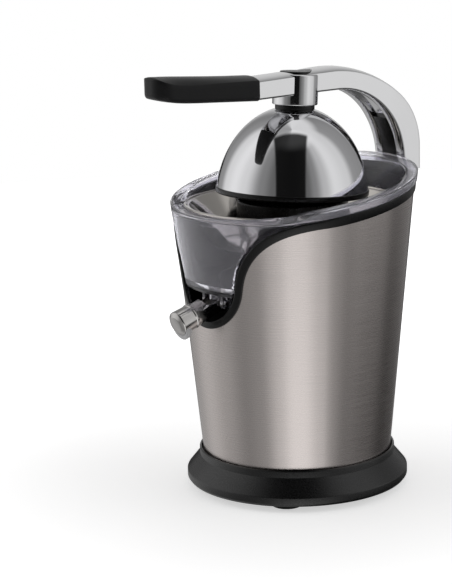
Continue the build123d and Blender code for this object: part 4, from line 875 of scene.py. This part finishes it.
corner_c = Vector((rear_y - corner_r, turn_z))
crest_c = corner_c - heading(corner_turn) * (crest_r - corner_r)
inner_c = Vector((inner_y - inner_r, inner_z))
crest_end = crest_c + Vector((0, crest_r))
back_line = [Vector((rear_y, z)) for z in spread(foot_z, turn_z, 8)[:-1]]
back_line += [corner_c + heading(t) * corner_r for t in spread(0.0, corner_turn, 24)[:-1]]
back_line += [crest_c + heading(t) * crest_r for t in spread(corner_turn, pi / 2, 24)]


def back_at(turn):
    """Where a ray from the middle of the inner arc meets the back of the arm."""
    ray = heading(turn)
    side = Vector((-ray.y, ray.x))
    for p, q in zip(back_line, back_line[1:]):
        a, b = (p - inner_c).dot(side), (q - inner_c).dot(side)
        if a <= 0 <= b:
            return p + (q - p) * (-a / max(b - a, 1e-9))
    return crest_end.copy()


def bar_at(y):
    """Inner and back points of the straight run of the arm at a place along it."""
    top = crest_end.y + (neck_top - crest_end.y) * (crest_end.x - y) / (crest_end.x - neck_y)
    if y > crest_end.x:
        top = crest_c.y + sqrt(crest_r**2 - (y - crest_c.x) ** 2)
    inner_top = inner_c.y + inner_r
    low = inner_top + (neck_low - inner_top) * (inner_c.x - y) / (inner_c.x - neck_y)
    return Vector((y, low)), Vector((y, top))


def half_width(y):
    """Half the arm's width: wide at the hinge, slim from the hub on."""
    return half_front + (half_rear - half_front) * held((y - hub_r) / (inner_y - 10 - hub_r))


def arm_section(depth):
    """Half a section of the arm: share of the half width, and depth from the back or from the inside."""
    crown = [(sin(t), "back", crown_h * sin(t) ** 2.6) for t in spread(0.0, pi / 2, 10)[:-1]]
    bevel = ((0.985, -0.05), (0.998, 0.35), (1.0, 0.9), (1.0, 1.5))
    edge = [(across, "back", crown_h + deep) for across, deep in bevel]
    side = [(1.0, "in", 1.7), (1.0, "in", 1.1), (0.985, "in", 0.3), (0.95, "in", 0.0)]
    lip = [(-groove_half - 0.7, "in", 0.0), (-groove_half - 0.1, "in", min(0.25, depth))]
    return crown + edge + side + lip + [(-groove_half, "in", depth), (0.0, "in", depth)]


def arm_loop(inside, back, depth, ends=None):
    """One closed section of the arm, right and left, with its end trimmed to the hub's cap where asked."""
    away = (back - inside).normalized()
    right = []
    for across, side, deep in arm_section(depth):
        spot = back - away * deep if side == "back" else inside + away * deep
        u = -across if across < 0 else across * half_width(spot.x)
        right.append((u, spot))
    loop = right + [(-u, s) for u, s in right[-2:0:-1]]
    points = []
    for u, spot in loop:
        y = spot.x
        if ends:
            y = hub_mid_y + ends * sqrt(max(cap_seat_r**2 - u * u, 0.0))
        points.append((u, y, spot.y))
    return points


rear_loops = []
for z in (foot_z, foot_z + 2.2, foot_z + 4.4):
    rear_loops.append(arm_loop(Vector((inner_y, z)), Vector((rear_y, z)), groove_deep))
for turn in spread(0.0, pi / 2, 46):
    depth = groove_deep if turn <= groove_sweep else 0.0
    rear_loops.append(arm_loop(inner_c + heading(turn) * inner_r, back_at(turn), depth))
for y in (34.0, 30.0, 26.0, 22.0):
    rear_loops.append(arm_loop(*bar_at(y), 0.0))
rear_loops.append(arm_loop(*bar_at(hub_mid_y + 10), 0.0, 1))
front_loops = [arm_loop(*bar_at(hub_mid_y - 10), 0.0, -1)]
front_loops += [arm_loop(*bar_at(y), 0.0) for y in spread(hub_mid_y - 14, neck_y, 8)]

hub_outline = rounded(
    [(0, hub_low), (hub_r, hub_low, 0.8), (hub_r, hub_top, 1.8), (cap_seat_r, hub_top, 0.3),
     (cap_seat_r, cap_seat_z), (0, cap_seat_z)],
    6,
)
tongue_half, ear_r = 9.2, 7.0
tongue = ear(-tongue_half, tongue_half, 0.5, 0.95, hinge_y, hinge_z, ear_r, foot_z + 1.0, 24)
chrome_casting = hazed(*finish("chrome_plated_zinc", "#dadadb", Metallic=1.0), 9.0, 6.0, 0.07, 0.12, 0.7)
casting = joined(lofted(rear_loops), lofted(front_loops), placed(lathe(hub_outline, 128), seat), tongue)
piece("lever_arm", casting, chrome_casting, "lever", sharp=40)

# Arm strip and hub cap
# A satin black strip clips into the groove and ends part of the way round the arch. A black disc
# covers the bolt's end in the hub.
inlay_half, inlay_low, inlay_high, strip_sweep = 8.45, 0.35, 2.55, radians(34.0)
strip_marks = [(inner_c + Vector((inner_r, z - inner_z)), Vector((1, 0))) for z in (foot_z, foot_z + 3.2)]
strip_marks += [(inner_c + heading(turn) * inner_r, heading(turn)) for turn in spread(0.0, strip_sweep, 40)]
strip_section = rounded(
    [(-inlay_half, inlay_high, 0.1), (-inlay_half, inlay_low, 0.5), (0, inlay_low - 0.2),
     (inlay_half, inlay_low, 0.5), (inlay_half, inlay_high, 0.1)],
    3,
)
strip_loops = [[(u, *(spot + away * d)) for u, d in strip_section] for spot, away in strip_marks]
piece("arm_inlay", lofted(strip_loops), satin_black, "lever")

cap_low = hub_top - 0.9
cap_outline = rounded([(0, cap_low), (cap_r, cap_low, 0.2), (cap_r, hub_top + 1.9, 0.8), (0, hub_top + 2.3)], 5)
piece("hub_cap", placed(lathe(cap_outline, 96), seat), satin_black, "lever")

# Grip
# Soft touch elastomer over the arm's tang. A crowned spine runs straight to the tip, while the upper
# edges dip along the sides for the thumb and climb again to a rounded end.
grip_half, grip_end, tip_round = 14.6, -134.0, 12.0
crest_marks = [(-40.7, 334.5), (-70.0, 336.3), (-100.0, 338.6), (-118.0, 340.0), (-134.0, 340.8)]
edge_marks = [(-40.7, 331.5), (-70.0, 332.4), (-95.0, 332.8), (-106.0, 333.2), (-114.0, 334.0)]
edge_marks += [(-121.0, 335.2), (-127.0, 337.0), (-131.0, 338.9), (-134.0, 340.2)]
low_marks = [(-40.7, 315.4), (-81.0, 317.9), (-105.0, 319.5), (-118.0, 320.9), (-126.0, 322.6), (-134.0, 325.0)]
soft_touch = grained(
    *finish("soft_touch_elastomer", "#1c1c1d", Specular_IOR_Level=0.14, Sheen_Weight=0.2, Sheen_Roughness=0.5),
    0.8, 0.02, 0.42, 0.05,
)


def along_marks(marks, y):
    """Height at a place along a smooth line through marks that run towards the tip."""
    for i in range(len(marks) - 1):
        (y0, z0), (y1, z1) = marks[i], marks[i + 1]
        if y >= y1 or i == len(marks) - 2:
            t = (y - y0) / (y1 - y0)
            before = marks[max(i - 1, 0)]
            after = marks[min(i + 2, len(marks) - 1)]
            m0 = (z1 - before[1]) / (y1 - before[0]) * (y1 - y0)
            m1 = (after[1] - z0) / (after[0] - y0) * (y1 - y0)
            return (
                (2 * t**3 - 3 * t**2 + 1) * z0 + (t**3 - 2 * t**2 + t) * m0
                + (3 * t**2 - 2 * t**3) * z1 + (t**3 - t**2) * m1
            )
    return marks[-1][1]


tip_flat, tip_y = grip_half - tip_round, grip_end + tip_round
grip_stations = [neck_y, neck_y - 0.4] + spread(neck_y - 1.2, tip_y, 40)
grip_stations += [tip_y - tip_round * sin(t) for t in spread(0.0, pi / 2, 18)[1:]]
grip_loops = []
for n, y in enumerate(grip_stations):
    past = max(0.0, (tip_y - y) / tip_round)
    w = tip_flat + tip_round * sqrt(max(0.0, 1 - past * past))
    crest, edge, low = along_marks(crest_marks, y), along_marks(edge_marks, y), along_marks(low_marks, y)
    shut = 1 - sqrt(max(0.0, 1 - max(0.0, (past - 0.75) / 0.25) ** 2))
    crest, edge, low = crest - 2.4 * shut, edge - 2.2 * shut, low + 3.0 * shut
    tuck = 0.5 if n == 0 else 0.15 if n == 1 else 0.0
    w, crest, edge, low = w - tuck, crest - tuck, edge - tuck, low + tuck
    crown = [sin(t) for t in spread(0.0, pi / 2, 10)]
    half = [(w * u * 0.975, edge + (crest - edge) * (1 - u**2.3)) for u in crown]
    soft = min(0.7, w * 0.2)
    half += [(w - 0.35 * soft, edge - 0.25), (w, edge - 0.9)]
    belly = min(3.0, w * 0.6)
    half += [(w, edge + (low + belly - edge) * t) for t in (0.3, 0.6, 0.85)]
    half += [(w - belly * (1 - cos(t)), low + belly * (1 - sin(t))) for t in spread(0.0, pi / 2, 6)]
    half += [(0.5 * (w - belly), low - 0.2), (0.0, low - 0.3)]
    loop = half + [(-u, z) for u, z in half[-2:0:-1]]
    grip_loops.append([(u, y, z) for u, z in loop])
piece("grip", lofted(grip_loops), soft_touch, "lever", sharp=38)

# Dome
# A deep drawn and chrome plated steel shell presses the fruit. A black ring closes its mouth, and a
# black collar stands between it and the hub.
dome_r, dome_h, dome_sink, dome_wall, ring_h, ring_proud = 60.3, 65.0, 9.5, 1.5, 4.5, 0.9
chrome = hazed(*finish("chrome_plated_steel", "#dcdcde", Metallic=1.0), 14.0, 5.0, 0.035, 0.065, 0.6)

dome_rise = dome_h + dome_sink
dome_belly = dome_r / sqrt(1 - (dome_sink / dome_rise) ** 2)


def dome_line(inset, steps):
    """Radii and heights from the mouth to the top of the dome's surface moved in by an inset."""
    start = asin(dome_sink / (dome_rise - inset))
    turns = spread(start, pi / 2, steps)
    return [((dome_belly - inset) * cos(t), (dome_rise - inset) * sin(t) - dome_sink) for t in turns]


dome_outline = dome_line(0.0, 72) + dome_line(dome_wall, 36)[::-1]
piece("dome_shell", placed(lathe(dome_outline, 256), seat), chrome, "lever")

liner_in, ring_r = dome_line(dome_wall + 2.7, 1)[0][0], dome_r + ring_proud
ring_outline = rounded([(liner_in, 0.0, 0.2), (ring_r, 0.0, 0.7), (ring_r, -ring_h, 1.2), (liner_in, -ring_h, 1.0)], 5)
piece("dome_rim", placed(lathe(ring_outline, 224), seat), satin_black, "lever")
collar_r, collar_bore = 15.7, 4.2
collar_low = dome_rise * sqrt(1 - (collar_r / dome_belly) ** 2) - dome_sink
collar_outline = rounded(
    [(collar_bore, dome_h), (collar_r, collar_low, 0.2), (collar_r, hub_low - 0.7, 0.3),
     (collar_r - 0.5, hub_low, 0.1), (collar_bore, hub_low)],
    4,
)
piece("dome_collar", placed(lathe(collar_outline, 128), seat), satin_black, "lever")
recoat(housing_black, "dome_liner")

# Camera
# Stands where the photograph was taken from, to the right of the spout and a little above the rim.
view_turn, view_far, view_high, view_focal = radians(52.0), 1526.0, 497.0, 1938.0
view_yaw, view_pitch, view_roll = radians(-2.06), radians(12.54), radians(-1.48)
picture_h, sensor = 584.0, 36.0
lens = bpy.data.cameras.new("photograph")
lens.sensor_width = sensor
lens.lens = view_focal / picture_h * sensor
eye = linked("photograph", lens)
spot = Vector((view_far * sin(view_turn), -view_far * cos(view_turn), view_high)) * mm
facing = Matrix.Rotation(view_turn - view_yaw, 4, "Z") @ Matrix.Rotation(pi / 2 - view_pitch, 4, "X")
eye.matrix_world = Matrix.Translation(spot) @ facing @ Matrix.Rotation(view_roll, 4, "Z")
bpy.context.scene.camera = eye

# Floor and light
# A pale sweep under soft boxes to the left and right of the camera and one overhead, with the room
# behind the camera left dim so that polished metal shows a dark band between the lights.
floor_r, floor_sides = 1.6, 64
floor_line = [(floor_r * cos(t), floor_r * sin(t), 0) for t in spread(0.0, 2 * pi, floor_sides)[:-1]]
floor_mesh = bpy.data.meshes.new("floor")
floor_mesh.from_pydata(floor_line, [], [tuple(range(floor_sides))])
floor = linked("floor", floor_mesh)
floor.visible_glossy = False


def seen(tree):
    """1 for rays that the camera sees, straight or through clear plastic, and 0 for those that light the juicer."""
    path = add(tree, "ShaderNodeLightPath")
    rays = {0: path.outputs["Is Camera Ray"], 1: path.outputs["Is Transmission Ray"]}
    return add(tree, "ShaderNodeMath", rays, operation="MAXIMUM")


paper, tree, shader = finish("white_paper_sweep", "#f0f0f0", Roughness=0.9, Specular_IOR_Level=0.0)
place = add(tree, "ShaderNodeTexCoord")
away = add(tree, "ShaderNodeVectorMath", {0: place.outputs["Object"]}, operation="LENGTH")
fade = add(
    tree,
    "ShaderNodeMapRange",
    {"Value": away.outputs["Value"], 1: 0.1, 2: 0.6, 3: 0.55, 4: 1.0},
    interpolation_type="SMOOTHSTEP",
)
glow = add(tree, "ShaderNodeEmission", {"Color": linear("#ffffff"), "Strength": fade})
lit = add(tree, "ShaderNodeAddShader", {0: shader, 1: glow})
pick = add(tree, "ShaderNodeMixShader", {0: seen(tree), 1: shader, 2: lit})
tree.links.new(pick.outputs["Shader"], tree.nodes["Material Output"].inputs["Surface"])
floor_mesh.materials.append(paper)

world = bpy.data.worlds.new("studio")
bpy.context.scene.world = world
world.use_nodes = True
sky = world.node_tree
place = add(sky, "ShaderNodeTexCoord")
turned = add(
    sky,
    "ShaderNodeVectorRotate",
    {"Vector": place.outputs["Generated"], "Angle": -view_turn},
    rotation_type="Z_AXIS",
)
parts = add(sky, "ShaderNodeSeparateXYZ", {"Vector": turned}).outputs
ahead_of = add(sky, "ShaderNodeMath", {0: parts["Y"], 1: -1.0}, operation="MULTIPLY")
around = add(sky, "ShaderNodeMath", {0: parts["X"], 1: ahead_of}, operation="ARCTAN2")
sideways = add(sky, "ShaderNodeMath", {0: parts["X"]}, operation="ARCSINE")
overhead = add(sky, "ShaderNodeMath", {0: parts["Z"], 1: ahead_of}, operation="ARCTAN2")


def light_along(turn, stops):
    """A ramp of light along an angle, given as degrees and levels."""
    low, high = stops[0][0], stops[-1][0]
    share = add(sky, "ShaderNodeMapRange", {"Value": turn, 1: radians(low), 2: radians(high)})
    ramp = add(sky, "ShaderNodeValToRGB", {"Fac": share})
    ramp.color_ramp.interpolation = "EASE"
    while len(ramp.color_ramp.elements) < len(stops):
        ramp.color_ramp.elements.new(0.5)
    for element, (angle, level) in zip(ramp.color_ramp.elements, stops):
        element.position = (angle - low) / (high - low)
        element.color = (level, level, level, 1.0)
    return ramp.outputs["Color"]


def blended(low, high, value, start, end):
    """One light that gives way to another as a value goes from start to end."""
    rise = add(sky, "ShaderNodeMapRange", {"Value": value, 1: start, 2: end}, interpolation_type="SMOOTHSTEP")
    return add(sky, "ShaderNodeMix", {"Factor": rise, 6: low, 7: high}, data_type="RGBA").outputs[2]


table = light_along(
    around,
    [(-180, 0.36), (-150, 0.45), (-119, 0.62), (-90, 0.41), (-64, 0.28), (-40, 0.43), (-18, 1.0), (-4, 1.4),
     (10, 1.4), (29, 0.95), (45, 0.40), (58, 0.15), (85, 0.04), (115, 0.0), (150, 0.06), (180, 0.36)],
)
boxes = light_along(
    around,
    [(-180, 0.70), (-158, 0.26), (-139, 0.34), (-121, 0.86), (-100, 1.0), (-80, 0.85), (-49, 0.27), (-29, 0.15),
     (0, 0.12), (24, 0.15), (36, 0.28), (52, 0.60), (70, 0.90), (97, 0.78), (114, 0.36), (127, 0.33), (150, 0.28),
     (180, 0.70)],
)
top = light_along(
    around,
    [(-180, 0.9), (-140, 0.45), (-110, 0.40), (-60, 0.45), (-30, 0.6), (0, 0.95), (60, 0.95), (100, 0.85),
     (130, 0.85), (180, 0.9)],
)
gap = light_along(sideways, [(-90, 1.0), (-26, 1.0), (-22.5, 0.06), (18.5, 0.06), (22.5, 1.0), (90, 1.0)])
gap = blended(gap, (1.0, 1.0, 1.0, 1.0), overhead, radians(80), radians(87))
bright = blended(boxes, top, parts["Z"], sin(radians(54)), sin(radians(70)))
both = {"Factor": 1.0, 6: bright, 7: gap}
upper = add(sky, "ShaderNodeMix", both, data_type="RGBA", blend_type="MULTIPLY").outputs[2]
room = blended(table, upper, parts["Z"], sin(radians(-18.5)), sin(radians(-9.5)))
shown = add(sky, "ShaderNodeMix", {"Factor": seen(sky), 6: room, 7: linear("#ffffff")}, data_type="RGBA")
sky.links.new(shown.outputs[2], sky.nodes["Background"].inputs["Color"])

bpy.context.scene.view_settings.view_transform = "Standard"
